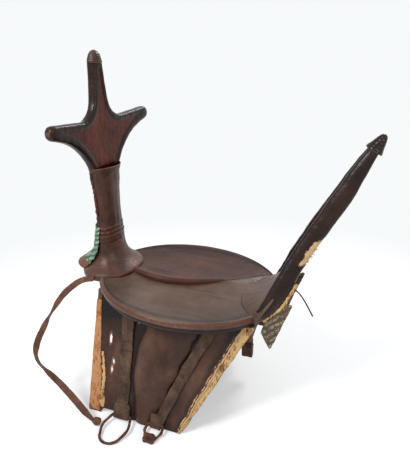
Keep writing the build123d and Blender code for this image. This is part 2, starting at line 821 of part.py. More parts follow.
# Bindings folded round the edges of the legs
front_binding_left = leaning_strip(
    -front_leg_setback - thin_leather,
    front_binding_width + thin_leather - fit_gap,
    -leg_thickness - 2 * thin_leather,
    cover_lift,
    shift=thin_leather,
)
with BuildPart() as front_binding_trimmed:
    add(front_binding_left.part)
    add(front_leg_left.part, mode=Mode.SUBTRACT)
    add(front_bridge.part, mode=Mode.SUBTRACT)
finish_pair(front_binding_trimmed, "front_binding")

rear_rawhide_left = leaning_strip(
    rear_leg_foot_setback - rear_rawhide_width + fit_gap,
    rear_rawhide_width + thin_leather - fit_gap,
    -leg_thickness - 2 * thin_leather,
    cover_lift,
    shift=thin_leather,
    slope=rear_slope,
)
with BuildPart() as rear_rawhide_trimmed:
    add(rear_rawhide_left.part)
    add(rear_leg_left.part, mode=Mode.SUBTRACT)
    add(rear_bridge.part, mode=Mode.SUBTRACT)
finish_pair(rear_rawhide_trimmed, "rear_rawhide")


with BuildPart() as pommel_core_drilled:
    add(pommel_core.part)
    add(pommel_peg.part, mode=Mode.SUBTRACT)
finish(pommel_core_drilled, "pommel_core")
with BuildPart() as cantle_core_drilled:
    add(cantle_core.part)
    add(cantle_peg.part, mode=Mode.SUBTRACT)
finish(cantle_core_drilled, "cantle_core")

# Girth straps with a folded end, and the thong loops that hinge in the fold
eye_slope_height = eye_height / cos(splay_angle)


def girth_strap(foot_x, top_x, width, cover):
    """Strap lying on the side cover with a thick folded end bored along X for a loop."""
    slope = (top_x - foot_x) / seat_underside_slope
    start = leather + thin_leather / 2
    with BuildPart() as strap:
        with BuildSketch(side_plane.offset(start)):
            with BuildLine():
                low, high = strap_lift, slope_top
                Polyline(
                    (foot_x - width / 2 + slope * low, low),
                    (foot_x + width / 2 + slope * low, low),
                    (foot_x + width / 2 + slope * high, high),
                    (foot_x - width / 2 + slope * high, high),
                    (foot_x - width / 2 + slope * low, low),
                )
            make_face()
        extrude(amount=strap_thickness)
        with BuildSketch(side_plane.offset(start)):
            with Locations((foot_x, strap_lift)):
                Rectangle(width, strap_end_height, align=(Align.CENTER, Align.MIN))
        extrude(amount=strap_end_thickness)
        trim_to_tree(0)
        bore_centre = side_plane.from_local_coords(
            (foot_x, eye_slope_height, start + strap_end_thickness / 2)
        )
        with BuildSketch(Plane(origin=bore_centre, x_dir=(0, 1, 0), z_dir=(1, 0, 0))):
            Circle(thong_radius + eye_clearance)
        extrude(amount=width, both=True, mode=Mode.SUBTRACT)
        add(cover.part, mode=Mode.SUBTRACT)
        add(side_board_left.part, mode=Mode.SUBTRACT)
    return strap, bore_centre


front_strap_left, front_eye = girth_strap(
    -front_strap_offset, -front_strap_offset, front_strap_width, side_cover_left
)
finish_pair(front_strap_left, "front_strap")
rear_strap_left, rear_eye = girth_strap(
    -rear_strap_foot_offset, rear_strap_top_offset, rear_strap_width, side_cover_left
)
finish_pair(rear_strap_left, "rear_strap")


def thong_loop(eye, length, half_width, strap_width, corner_rounds, with_toggle):
    """Closed thong loop through a folded strap end, sloping down to the floor."""
    drop = eye.Z - thong_radius
    tip = degrees(atan2(drop, length))
    loop_plane = Plane(
        origin=eye, x_dir=(1, 0, 0), z_dir=(0, -sin(radians(tip)), cos(radians(tip)))
    )
    neck = strap_width / 2 + 2 * thong_radius
    with BuildPart() as loop:
        with BuildLine(loop_plane) as path:
            FilletPolyline(
                (-neck, 0),
                (-half_width, -length * loop_widest_share),
                (-half_width * loop_tip_share, -length),
                (half_width * loop_tip_share, -length),
                (half_width, -length * loop_widest_share),
                (neck, 0),
                radius=corner_rounds,
                close=True,
            )
        start_plane = Plane(origin=path.line @ 0, z_dir=path.line % 0)
        with BuildSketch(start_plane):
            Circle(thong_radius)
        sweep()
        if with_toggle:
            toggle_plane = Plane(
                origin=loop_plane.from_local_coords((0, -length, toggle_height / 2 - thong_radius)),
                x_dir=loop_plane.x_dir,
                z_dir=loop_plane.z_dir,
            )
            with BuildSketch(toggle_plane):
                RectangleRounded(toggle_width, toggle_length, toggle_round)
            extrude(amount=toggle_height / 2, both=True)
            split(bisect_by=Plane.XY, keep=Keep.TOP)
    return loop


front_ring_left = thong_loop(
    front_eye, ring_length, ring_half_width, front_strap_width, ring_corner_rounds, False
)
finish_pair(front_ring_left, "front_ring")
rear_loop_left = thong_loop(
    rear_eye, loop_length, loop_half_width, rear_strap_width, loop_corner_rounds, True
)
finish_pair(rear_loop_left, "rear_loop")

# Crupper strap hanging inside the right rear of the tree
crupper_x = seat_x + crupper_strap_setback
crupper_top = seat_underside.from_local_coords((crupper_strap_setback, 0, 0)).Z
with BuildPart() as crupper_strap:
    tilt_drop = crupper_strap_width / 2 * tan(radians(seat_tilt))
    crupper_z = crupper_top - fit_gap - tilt_drop - crupper_strap_length
    with BuildSketch(Plane.XZ.offset(-crupper_strap_spread)):
        with Locations((crupper_x, crupper_z)):
            Rectangle(
                crupper_strap_width, crupper_strap_length, align=(Align.CENTER, Align.MIN)
            )
    extrude(amount=strap_thickness / 2, both=True)
    with BuildSketch(Plane.XZ.offset(-crupper_strap_spread)):
        with Locations((crupper_x, crupper_z)):
            Rectangle(crupper_strap_width, strap_end_height, align=(Align.CENTER, Align.MIN))
    extrude(amount=strap_end_thickness / 2, both=True)
finish(crupper_strap, "crupper_strap")


# Cords
def cord(points, radius, name, limp, anchors):
    """Tube of straight runs and tangent arcs along a route, cut flush where it is anchored."""
    route = [Vector(*point) for point in points]
    radii = []
    for before, corner, after in zip(route, route[1:], route[2:]):
        run_in, run_out = corner - before, after - corner
        half_turn = radians(run_in.get_angle(run_out)) / 2
        radii.append(cord_arc_share * min(run_in.length, run_out.length) / tan(half_turn))
    with BuildPart() as tube:
        with BuildLine() as path:
            FilletPolyline(*route, radius=radii)
        with BuildSketch(Plane(origin=path.line @ 0, z_dir=path.line % 0)):
            Circle(radius)
        sweep()
        for anchor in anchors:
            add(anchor.part, mode=Mode.SUBTRACT)
    finish(tube, name)
    section = pi * radius**2
    print(name, "smallest radius", round(min(radii), 1), "limit", round(2 * limp * radius, 1))
    length = sum(edge.length for edge in path.edges())
    print(name, "length", round(length, 1), "volume ratio", round(tube.part.volume / (section * length), 4))
    return tube


tie_route = (
    (-243.5, -81.4, 281),
    (-265.5, -86, 279),
    (-290.5, -98, 262),
    (-312.5, -112, 238),
    (-328.5, -126, 208),
    (-342.5, -144, 174),
    (-353.5, -162, 140),
    (-350.5, -176, 112),
    (-328.5, -181, 93),
    (-297.5, -184, 77),
    (-262.5, -190, 54),
    (-232.5, -196, 33),
    (-210.5, -201, 17),
    (-194.6, -204, 9.5),
)
tie_strap = cord(tie_route, tie_radius, "tie_strap", cord_turn, (pommel_foot,))

cantle_thong_route = (
    (166.2, -20, 305),
    (182.5, -20, 303),
    (194, -20.5, 295),
    (203, -20, 283.5),
    (211, -21, 271.5),
    (218, -21.5, 260),
    (224.5, -22, 249),
)
cord(
    cantle_thong_route,
    cantle_thong_radius,
    "cantle_thong",
    cord_turn,
    (cantle_back_panel, cantle_core),
)

knot_place = Vector(*tie_route[-1]) + Vector(tie_knot_radius + fit_gap, 0, 0)
with BuildPart() as tie_knot:
    with Locations(knot_place):
        Sphere(tie_knot_radius)
    split(bisect_by=Plane.XY, keep=Keep.TOP)
    add(tie_strap.part, mode=Mode.SUBTRACT)
finish(tie_knot, "tie_knot")
print("front eye", front_eye, "rear eye", rear_eye, "seat x", seat_x)
print("welt", welt_start, welt_direction, "crupper top", crupper_top)
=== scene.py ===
"""Looks of a leather-covered wooden camel saddle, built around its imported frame."""

from __future__ import annotations

import logging
import math
from dataclasses import dataclass, field
from enum import Enum
from typing import Callable, Sequence

import bmesh
import bpy
from mathutils import Matrix, Vector, noise

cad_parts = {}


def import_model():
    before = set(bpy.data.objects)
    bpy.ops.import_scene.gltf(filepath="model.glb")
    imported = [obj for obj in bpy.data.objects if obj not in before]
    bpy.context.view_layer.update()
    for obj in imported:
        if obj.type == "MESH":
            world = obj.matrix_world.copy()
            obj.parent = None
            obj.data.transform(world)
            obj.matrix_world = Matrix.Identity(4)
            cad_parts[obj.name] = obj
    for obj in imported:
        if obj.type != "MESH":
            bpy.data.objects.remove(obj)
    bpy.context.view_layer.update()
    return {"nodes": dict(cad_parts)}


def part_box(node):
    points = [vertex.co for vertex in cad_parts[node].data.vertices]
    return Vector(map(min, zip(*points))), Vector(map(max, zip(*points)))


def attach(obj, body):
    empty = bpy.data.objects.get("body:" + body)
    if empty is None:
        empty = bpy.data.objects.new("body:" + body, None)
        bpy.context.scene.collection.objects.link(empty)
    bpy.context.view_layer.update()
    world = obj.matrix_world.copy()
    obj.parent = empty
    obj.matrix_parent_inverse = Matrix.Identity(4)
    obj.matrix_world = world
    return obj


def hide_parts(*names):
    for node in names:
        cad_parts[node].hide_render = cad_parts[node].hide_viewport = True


MM = 0.001
SEAT_X = -48.913
SEAT_HEIGHT = 275.0
SEAT_TILT = math.radians(2.9)
log = logging.getLogger("saddle")


def hex_linear(code: str) -> tuple[float, float, float, float]:
    """Turn an sRGB hex colour into a linear one.

    Args:
        code: Six hex digits, with no mark before them.

    Returns:
        Red, green, blue and an alpha of 1.
    """
    parts = [int(code[start:start + 2], 16) / 255 for start in (0, 2, 4)]
    linear = [part / 12.92 if part <= 0.04045 else ((part + 0.055) / 1.055) ** 2.4 for part in parts]
    return (linear[0], linear[1], linear[2], 1.0)


def add_node(
    tree: bpy.types.NodeTree, kind: str, settings: dict | None = None, links: dict | None = None
) -> bpy.types.Node:
    """Add one shader node with its settings and its input links.

    Args:
        tree: The material's node tree.
        kind: The node's type name.
        settings: Attribute values, or input values under the input's name or number.
        links: Output sockets by the name or number of the input that they feed.

    Returns:
        The new node.
    """
    node = tree.nodes.new(kind)
    for key, value in (settings or {}).items():
        if isinstance(key, int) or key in node.inputs:
            node.inputs[key].default_value = value
        else:
            setattr(node, key, value)
    for key, socket in (links or {}).items():
        tree.links.new(socket, node.inputs[key])
    return node


def ramp(tree: bpy.types.NodeTree, source: bpy.types.NodeSocket, stops: Sequence) -> bpy.types.Node:
    """Add a colour ramp fed by a value.

    Args:
        tree: The material's node tree.
        source: The value that the ramp reads.
        stops: Pairs of place and colour.

    Returns:
        The ramp node.
    """
    node = add_node(tree, "ShaderNodeValToRGB", links={"Fac": source})
    elements = node.color_ramp.elements
    while len(elements) < len(stops):
        elements.new(0.5)
    for element, (place, color) in zip(elements, stops):
        element.position = place
        element.color = color
    return node


@dataclass(frozen=True)
class Leather:
    """Vegetable-tanned goat hide: mottled colour, fine grain, wrinkles and rubbed edges.

    Sizes are in millimetres. The grain is drawn at about twice its real size so that it shows.
    Three attributes steer it. wear rubs it to a lighter tan: real wear on most edges, and painted
    highlight on the seat's far lip and on the side boards' arches. A second one darkens it: mostly
    painted shade in hollows, creases and recesses, with some real grime. torn opens it to its pale
    fibres. The wrinkles' creases are painted darker too, as painted shade.
    """

    name: str
    dark: str
    base: str
    light: str
    worn: str
    roughness: float = 0.45
    specular: float = 0.30
    coat: float = 0.06
    raw: str = "c9a67c"
    # How dark hollows and recesses get: painted shade, with some real grime.
    grime_shade_tone: float = 0.30
    patch: float = 55.0
    wrinkle: float = 14.0
    wrinkle_depth: float = 0.6
    stretch: tuple[float, float, float] = (1.0, 1.0, 1.0)
    grain: float = 2.4
    grain_depth: float = 0.10
    streaks: float = 0.0

    def make(self) -> bpy.types.Material:
        """Build the material and return it."""
        material = bpy.data.materials.new(self.name)
        material.use_nodes = True
        tree = material.node_tree
        shader = tree.nodes["Principled BSDF"]
        place = add_node(tree, "ShaderNodeTexCoord").outputs["Object"]
        stretched = add_node(
            tree, "ShaderNodeMapping", {"Scale": self.stretch}, {"Vector": place}
        ).outputs["Vector"]
        patches = add_node(
            tree, "ShaderNodeTexNoise",
            {"Scale": 1000 / self.patch, "Detail": 6.0, "Roughness": 0.62, "Distortion": 0.4},
            {"Vector": place},
        ).outputs["Fac"]
        mottle = ramp(tree, patches, (
            (0.30, hex_linear(self.dark)), (0.50, hex_linear(self.base)), (0.72, hex_linear(self.light)),
        )).outputs["Color"]
        creases = add_node(
            tree, "ShaderNodeTexNoise",
            {"Scale": 1000 / self.wrinkle, "Detail": 5.0, "Roughness": 0.55, "Distortion": 0.8},
            {"Vector": stretched},
        ).outputs["Fac"]
        # The creases of the wrinkles are painted darker: painted shade, deepened where streaks is set.
        crease_shade = ramp(tree, creases, (
            (0.34, (0.55, 0.52, 0.50, 1.0)), (0.52, (1.0, 1.0, 1.0, 1.0)),
        )).outputs["Color"]
        shaded = add_node(
            tree, "ShaderNodeMix", {"data_type": "RGBA", "blend_type": "MULTIPLY", 0: 0.35 + self.streaks},
            {6: mottle, 7: crease_shade},
        ).outputs[2]
        pores = add_node(
            tree, "ShaderNodeTexVoronoi",
            {"feature": "DISTANCE_TO_EDGE", "Scale": 1000 / self.grain, "Randomness": 1.0},
            {"Vector": place},
        ).outputs["Distance"]
        pore_lines = ramp(tree, pores, ((0.0, (0, 0, 0, 1)), (0.12, (1, 1, 1, 1)))).outputs["Color"]
        scuffs = add_node(
            tree, "ShaderNodeTexNoise", {"Scale": 160.0, "Detail": 4.0, "Roughness": 0.7}, {"Vector": place}
        ).outputs["Fac"]
        # The worn colour: real wear on edges and rims, and painted highlight on the seat's far lip and the side boards'
        # arches.
        wear = add_node(tree, "ShaderNodeAttribute", {"attribute_name": "wear"}).outputs["Fac"]
        worn_spots = add_node(
            tree, "ShaderNodeMath", {"operation": "MULTIPLY"}, {0: wear, 1: scuffs}
        ).outputs["Value"]
        wear_and_highlight_mask = ramp(tree, worn_spots, ((0.22, (0, 0, 0, 1)), (0.55, (1, 1, 1, 1)))).outputs["Color"]
        colored = add_node(
            tree, "ShaderNodeMix", {"data_type": "RGBA", 7: hex_linear(self.worn)},
            {0: wear_and_highlight_mask, 6: shaded},
        ).outputs[2]
        # Darkening from the second attribute: painted shade in hollows, creases and recesses, with some real grime.
        grime_and_shade = add_node(tree, "ShaderNodeAttribute", {"attribute_name": "grime_and_shade"}).outputs["Fac"]
        dimmed = add_node(
            tree, "ShaderNodeMix",
            {"data_type": "RGBA", "blend_type": "MULTIPLY", 7: (self.grime_shade_tone, self.grime_shade_tone * 0.9, self.grime_shade_tone * 0.85, 1.0)},
            {0: grime_and_shade, 6: colored},
        ).outputs[2]
        torn = add_node(tree, "ShaderNodeAttribute", {"attribute_name": "torn"}).outputs["Fac"]
        frayed = add_node(tree, "ShaderNodeMath", {"operation": "MULTIPLY"}, {0: torn, 1: scuffs}).outputs["Value"]
        torn_mask = ramp(tree, frayed, ((0.26, (0, 0, 0, 1)), (0.42, (1, 1, 1, 1)))).outputs["Color"]
        opened = add_node(
            tree, "ShaderNodeMix", {"data_type": "RGBA", 7: hex_linear(self.raw)}, {0: torn_mask, 6: dimmed}
        ).outputs[2]
        rough = add_node(
            tree, "ShaderNodeMapRange",
            {"From Min": 0.3, "From Max": 0.75, "To Min": self.roughness - 0.08, "To Max": self.roughness + 0.16},
            {"Value": scuffs},
        ).outputs["Result"]
        wrinkled = add_node(
            tree, "ShaderNodeBump", {"Strength": 0.55, "Distance": self.wrinkle_depth * MM}, {"Height": creases}
        ).outputs["Normal"]
        grained = add_node(
            tree, "ShaderNodeBump", {"Strength": 0.5, "Distance": self.grain_depth * MM},
            {"Height": pore_lines, "Normal": wrinkled},
        ).outputs["Normal"]
        scuffed = add_node(
            tree, "ShaderNodeBump", {"Strength": 0.4, "Distance": 0.25 * MM},
            {"Height": scuffs, "Normal": grained},
        ).outputs["Normal"]
        tree.links.new(opened, shader.inputs["Base Color"])
        tree.links.new(rough, shader.inputs["Roughness"])
        tree.links.new(scuffed, shader.inputs["Normal"])
        shader.inputs["Specular IOR Level"].default_value = self.specular
        shader.inputs["Coat Weight"].default_value = self.coat
        shader.inputs["Coat Roughness"].default_value = 0.3
        return material


@dataclass(frozen=True)
class Rawhide:
    """Untanned hide at a torn edge: pale, fibrous and matt."""

    name: str
    dark: str
    base: str
    light: str
    fibre: tuple[float, float, float] = (1.0, 1.0, 0.18)

    def make(self) -> bpy.types.Material:
        """Build the material and return it."""
        material = bpy.data.materials.new(self.name)
        material.use_nodes = True
        tree = material.node_tree
        shader = tree.nodes["Principled BSDF"]
        place = add_node(tree, "ShaderNodeTexCoord").outputs["Object"]
        along = add_node(tree, "ShaderNodeMapping", {"Scale": self.fibre}, {"Vector": place}).outputs["Vector"]
        fibres = add_node(
            tree, "ShaderNodeTexNoise", {"Scale": 320.0, "Detail": 6.0, "Roughness": 0.7}, {"Vector": along}
        ).outputs["Fac"]
        clumps = add_node(
            tree, "ShaderNodeTexNoise", {"Scale": 45.0, "Detail": 5.0, "Roughness": 0.65}, {"Vector": place}
        ).outputs["Fac"]
        both = add_node(tree, "ShaderNodeMath", {"operation": "ADD"}, {0: fibres, 1: clumps}).outputs["Value"]
        color = ramp(tree, both, (
            (0.74, hex_linear(self.dark)), (0.94, hex_linear(self.base)), (1.0, hex_linear(self.light)),
        )).outputs["Color"]
        bump = add_node(
            tree, "ShaderNodeBump", {"Strength": 0.8, "Distance": 1.2 * MM}, {"Height": both}
        ).outputs["Normal"]
        tree.links.new(color, shader.inputs["Base Color"])
        tree.links.new(bump, shader.inputs["Normal"])
        shader.inputs["Roughness"].default_value = 0.85
        shader.inputs["Specular IOR Level"].default_value = 0.25
        return material


@dataclass(frozen=True)
class PaintedHide:
    """Green-dyed hide with scratched stripes and leaf shapes, flaking along its creases."""

    name: str
    green: str
    pale: str
    olive: str
    brown: str
    stripe: float = 9.0
    turn: tuple[float, float, float] = (0.0, 0.6, 0.0)
    hem: float = 0.0
    flaking: float = 0.54

    def make(self) -> bpy.types.Material:
        """Build the material and return it."""
        material = bpy.data.materials.new(self.name)
        material.use_nodes = True
        tree = material.node_tree
        shader = tree.nodes["Principled BSDF"]
        place = add_node(tree, "ShaderNodeTexCoord").outputs["Object"]
        turned = add_node(tree, "ShaderNodeMapping", {"Rotation": self.turn}, {"Vector": place}).outputs["Vector"]
        bands = add_node(
            tree, "ShaderNodeTexWave",
            {"wave_type": "BANDS", "bands_direction": "Z", "Scale": 314.0 / self.stripe,
             "Distortion": 2.5, "Detail": 3.0, "Detail Scale": 2.0},
            {"Vector": turned},
        ).outputs["Fac"]
        leaves = add_node(
            tree, "ShaderNodeTexVoronoi",
            {"feature": "DISTANCE_TO_EDGE", "Scale": 1400 / self.stripe, "Randomness": 0.75}, {"Vector": turned},
        ).outputs["Distance"]
        striped = ramp(tree, bands, (
            (0.20, hex_linear(self.olive)), (0.42, hex_linear(self.green)), (0.75, hex_linear(self.pale)),
        )).outputs["Color"]
        veins = ramp(tree, leaves, ((0.05, (1, 1, 1, 1)), (0.13, (0, 0, 0, 1)))).outputs["Color"]
        veined = add_node(
            tree, "ShaderNodeMix", {"data_type": "RGBA", 7: hex_linear(self.olive)}, {0: veins, 6: striped}
        ).outputs[2]
        flakes = add_node(
            tree, "ShaderNodeTexNoise", {"Scale": 60.0, "Detail": 6.0, "Roughness": 0.7}, {"Vector": place}
        ).outputs["Fac"]
        level = add_node(tree, "ShaderNodeSeparateXYZ", links={"Vector": place}).outputs["Z"]
        low = add_node(
            tree, "ShaderNodeMapRange",
            {"From Min": (self.hem + 4.0) * MM, "From Max": self.hem * MM, "To Min": 0.0, "To Max": 0.3},
            {"Value": level},
        ).outputs["Result"]
        bare = add_node(tree, "ShaderNodeMath", {"operation": "ADD"}, {0: flakes, 1: low}).outputs["Value"]
        flaked = ramp(
            tree, bare, ((self.flaking, (0, 0, 0, 1)), (self.flaking + 0.06, (1, 1, 1, 1)))
        ).outputs["Color"]
        color = add_node(
            tree, "ShaderNodeMix", {"data_type": "RGBA", 7: hex_linear(self.brown)}, {0: flaked, 6: veined}
        ).outputs[2]
        bump = add_node(
            tree, "ShaderNodeBump", {"Strength": 0.6, "Distance": 0.5 * MM}, {"Height": leaves}
        ).outputs["Normal"]
        tree.links.new(color, shader.inputs["Base Color"])
        tree.links.new(bump, shader.inputs["Normal"])
        shader.inputs["Roughness"].default_value = 0.6
        return material


@dataclass(frozen=True)
class CarvedWood:
    """Hand-carved acacia, dull and darkened by dust."""

    name: str = "carved_acacia"
    dark: str = "3a261a"
    base: str = "5b3f2b"
    light: str = "7b5a3d"

    def make(self) -> bpy.types.Material:
        """Build the material and return it."""
        material = bpy.data.materials.new(self.name)
        material.use_nodes = True
        tree = material.node_tree
        shader = tree.nodes["Principled BSDF"]
        place = add_node(tree, "ShaderNodeTexCoord").outputs["Object"]
        along = add_node(tree, "ShaderNodeMapping", {"Scale": (1.0, 1.0, 0.12)}, {"Vector": place})
        grain = add_node(
            tree, "ShaderNodeTexNoise", {"Scale": 190.0, "Detail": 6.0, "Roughness": 0.65, "Distortion": 1.2},
            {"Vector": along.outputs["Vector"]},
        ).outputs["Fac"]
        color = ramp(tree, grain, (
            (0.32, hex_linear(self.dark)), (0.52, hex_linear(self.base)), (0.75, hex_linear(self.light)),
        )).outputs["Color"]
        bump = add_node(
            tree, "ShaderNodeBump", {"Strength": 0.6, "Distance": 0.6 * MM}, {"Height": grain}
        ).outputs["Normal"]
        tree.links.new(color, shader.inputs["Base Color"])
        tree.links.new(bump, shader.inputs["Normal"])
        shader.inputs["Roughness"].default_value = 0.75
        return material


class Finish(Enum):
    """The saddle's finishes."""

    SEAT = Leather(
        "seat_goat_hide", "341c16", "4d2e23", "62402f", "5e2e1c", roughness=0.38, specular=0.16, coat=0.03,
        patch=110.0, wrinkle=26.0, stretch=(0.25, 1.0, 1.0), wrinkle_depth=0.5, grime_shade_tone=0.22,
    )
    # A lighter, greyer copy of the seat hide for the near half and the apron: the grey is painted sheen of the bright
    # room; the lower roughness is real polish.
    SEAT_NEAR_SHEEN = Leather(
        "polished_hide_painted_sheen", "3a241c", "5a453a", "705c50", "5e2e1c", roughness=0.34, specular=0.2, coat=0.05,
        patch=140.0, wrinkle=30.0, stretch=(0.3, 1.0, 1.0), wrinkle_depth=0.4, grime_shade_tone=0.20,
    )
    SIDE = Leather(
        "side_goat_hide", "2a1813", "4a2f23", "634536", "8a6044", roughness=0.38, specular=0.25, coat=0.06,
        patch=80.0, wrinkle=30.0, stretch=(1.0, 1.0, 0.35), wrinkle_depth=1.4, grime_shade_tone=0.10,
    )
    PANEL = Leather(
        "red_panel_hide", "40201a", "5c2e24", "6d392c", "7c4636", roughness=0.50, specular=0.18, coat=0.03,
        patch=60.0, wrinkle=8.0, stretch=(1.0, 1.0, 0.12), wrinkle_depth=0.9, streaks=0.35,
    )
    RIM = Leather(
        "rolled_rim_hide", "170c09", "26150f", "3a2219", "5f3f2e", roughness=0.24, specular=0.2, coat=0.05,
        patch=50.0, wrinkle=18.0, wrinkle_depth=0.5, grime_shade_tone=0.25,
    )
    RAIL = Leather(
        "cantle_roll_hide", "170d0a", "271712", "3b251d", "5f3f2e", roughness=0.25, specular=0.2, coat=0.05,
        patch=70.0, wrinkle=16.0, stretch=(1.0, 1.0, 0.3), wrinkle_depth=0.8, grime_shade_tone=0.25,
    )
    SLEEVE = Leather(
        "sleeve_hide", "2c1812", "45281e", "5c392c", "8a5a3a", roughness=0.36, specular=0.25, coat=0.08,
        patch=40.0, wrinkle=10.0, stretch=(1.0, 1.0, 0.3), wrinkle_depth=1.0, streaks=0.2, grime_shade_tone=0.25,
    )
    FOOT = Leather(
        "foot_goat_hide", "3a221a", "56382c", "6e5042", "8a5f45", roughness=0.36, specular=0.25, coat=0.08,
        patch=60.0, wrinkle=22.0, wrinkle_depth=0.8,
    )
    STRAP = Leather(
        "strap_hide", "30221a", "503b2f", "6b5344", "8f765f", roughness=0.55, specular=0.2, coat=0.0, patch=30.0,
        wrinkle=7.0, wrinkle_depth=0.9, streaks=0.3,
    )
    THONG = Leather(
        "thong_hide", "38211a", "593729", "734c3a", "93684c", roughness=0.50, specular=0.2, coat=0.03, patch=25.0,
        wrinkle=6.0, wrinkle_depth=0.5,
    )
    WORN = Leather(
        "bare_worn_hide", "2a1813", "432a20", "5b3d2e", "b08c60", roughness=0.5, specular=0.2, coat=0.04,
        patch=12.0, wrinkle=6.0, wrinkle_depth=0.6,
    )
    CREAM = Rawhide("cream_rawhide", "4e3220", "9c7246", "cba674")
    ORANGE = Rawhide("orange_rawhide", "85502f", "a96d43", "bf8a5e", fibre=(1.0, 1.0, 0.05))
    GREEN = PaintedHide(
        "green_dyed_hide", "5f8a72", "9db7a0", "3b4f3b", "66402a", hem=298.0, flaking=0.60, turn=(0.0, 0.5, 0.0)
    )
    OLIVE = PaintedHide("olive_dyed_hide", "66593f", "8a8062", "43352a", "623f30", stripe=12.0)
    WOOD = CarvedWood()


class Finishes:
    """Builds each finish once and hands it out."""

    def __init__(self) -> None:
        """Start with nothing built."""
        self.built: dict[Finish, bpy.types.Material] = {}

    def dress(self, piece: bpy.types.Object, finish: Finish) -> None:
        """Give a piece one finish on every face.

        Args:
            piece: The object to dress.
            finish: The finish that it gets.
        """
        if finish not in self.built:
            self.built[finish] = finish.value.make()
        piece.data.materials.clear()
        piece.data.materials.append(self.built[finish])


def smoothed(piece: bpy.types.Object) -> None:
    """Shade a mesh smooth."""
    for face in piece.data.polygons:
        face.use_smooth = True


def link(name: str, mesh: bmesh.types.BMesh) -> bpy.types.Object:
    """Turn a bmesh into an object of the scene.

    Args:
        name: The object's name.
        mesh: The bmesh, freed here.

    Returns:
        The new object.
    """
    data = bpy.data.meshes.new(name)
    mesh.to_mesh(data)
    mesh.free()
    piece = bpy.data.objects.new(name, data)
    bpy.context.scene.collection.objects.link(piece)
    smoothed(piece)
    return piece


def rough_noise(point: Vector, size: float, seed: float = 0.0) -> float:
    """Layered noise from about -1 to 1.

    Args:
        point: Place in metres.
        size: Size of the largest bumps in millimetres.
        seed: Moves the pattern, so that pieces differ.

    Returns:
        The noise value.
    """
    place = point * (1000 / size) + Vector((seed, seed * 0.7, -seed))
    return noise.fractal(place, 0.9, 2.1, 4)


def mark_wear(mesh: bmesh.types.BMesh, gain: float, seed: float) -> None:
    """Store how rubbed each vertex is, and how much painted shade and grime darken it in hollows, from how far it
    stands out of its neighbours.

    Args:
        mesh: The bmesh to mark.
        gain: How strongly edges wear and hollows darken.
        seed: Moves the random part.
    """
    mesh.verts.ensure_lookup_table()
    mesh.normal_update()
    wear = mesh.verts.layers.float.new("wear")
    grime_and_shade = mesh.verts.layers.float.new("grime_and_shade")
    for vert in mesh.verts:
        near = [edge.other_vert(vert).co for edge in vert.link_edges]
        if not near:
            continue
        middle = sum(near, Vector()) / len(near)
        span = sum((co - vert.co).length for co in near) / len(near)
        rise = (vert.co - middle).dot(vert.normal) / max(span, 1e-6)
        vert[wear] = max(0.0, min(1.0, rise * gain + 0.25 * rough_noise(vert.co, 30.0, seed)))
        # Hollows are darkened: painted shade, like ambient occlusion, with the grime that gathers there.
        vert[grime_and_shade] = max(0.0, min(1.0, -rise * gain))


def ripple(mesh: bmesh.types.BMesh, depth: float, size: float, seed: float) -> None:
    """Move each vertex along its normal by layered noise.

    Args:
        mesh: The bmesh to move.
        depth: Largest move in millimetres.
        size: Size of the bumps in millimetres.
        seed: Moves the pattern.
    """
    mesh.normal_update()
    moves = [vert.normal * (rough_noise(vert.co, size, seed) * depth * MM) for vert in mesh.verts]
    for vert, move in zip(mesh.verts, moves):
        vert.co += move


def softened(
    name: str,
    sources: Sequence[bpy.types.Object],
    voxel: float,
    rounds: int = 4,
    depth: float = 0.5,
    size: float = 25.0,
    seed: float = 0.0,
    wear: float = 4.0,
    swell: float = 0.0,
    torn: Callable[[Vector], float] | None = None,
) -> bpy.types.Object:
    """Copy carved solids as one hand-worked leather skin with rounded, uneven edges.

    Args:
        name: The new object's name.
        sources: Nodes whose meshes are copied.
        voxel: Remesh size in millimetres.
        rounds: Smoothing passes.
        depth: Unevenness in millimetres.
        size: Size of the unevenness in millimetres.
        seed: Moves the noise.
        wear: How strongly edges wear and hollows darken with painted shade.
        swell: Growth in millimetres that makes up for the smoothing.
        torn: Gives how torn the hide is at a place in metres.

    Returns:
        The new object.
    """
    rough = bmesh.new()
    for source in sources:
        rough.from_mesh(source.data)
    bmesh.ops.remove_doubles(rough, verts=rough.verts, dist=0.01 * MM)
    draft = link(name + "_draft", rough)
    remesh = draft.modifiers.new("even_skin", "REMESH")
    remesh.mode = "VOXEL"
    remesh.voxel_size = voxel * MM
    even = bpy.data.meshes.new_from_object(
        draft.evaluated_get(bpy.context.evaluated_depsgraph_get())
    )
    bpy.data.objects.remove(draft)
    mesh = bmesh.new()
    mesh.from_mesh(even)
    bpy.data.meshes.remove(even)
    for _ in range(rounds):
        bmesh.ops.smooth_vert(
            mesh, verts=mesh.verts, factor=0.5, use_axis_x=True, use_axis_y=True, use_axis_z=True
        )
    mesh.normal_update()
    for vert, normal in [(vert, vert.normal.copy()) for vert in mesh.verts]:
        vert.co += normal * swell * MM
    ripple(mesh, depth, size, seed)
    mark_wear(mesh, wear, seed)
    if torn:
        layer = mesh.verts.layers.float.new("torn")
        for vert in mesh.verts:
            vert[layer] = torn(vert.co)
            vert.co += vert.normal * (0.9 * vert[layer] * abs(rough_noise(vert.co, 4.0, seed)) * MM)
    return link(name, mesh)


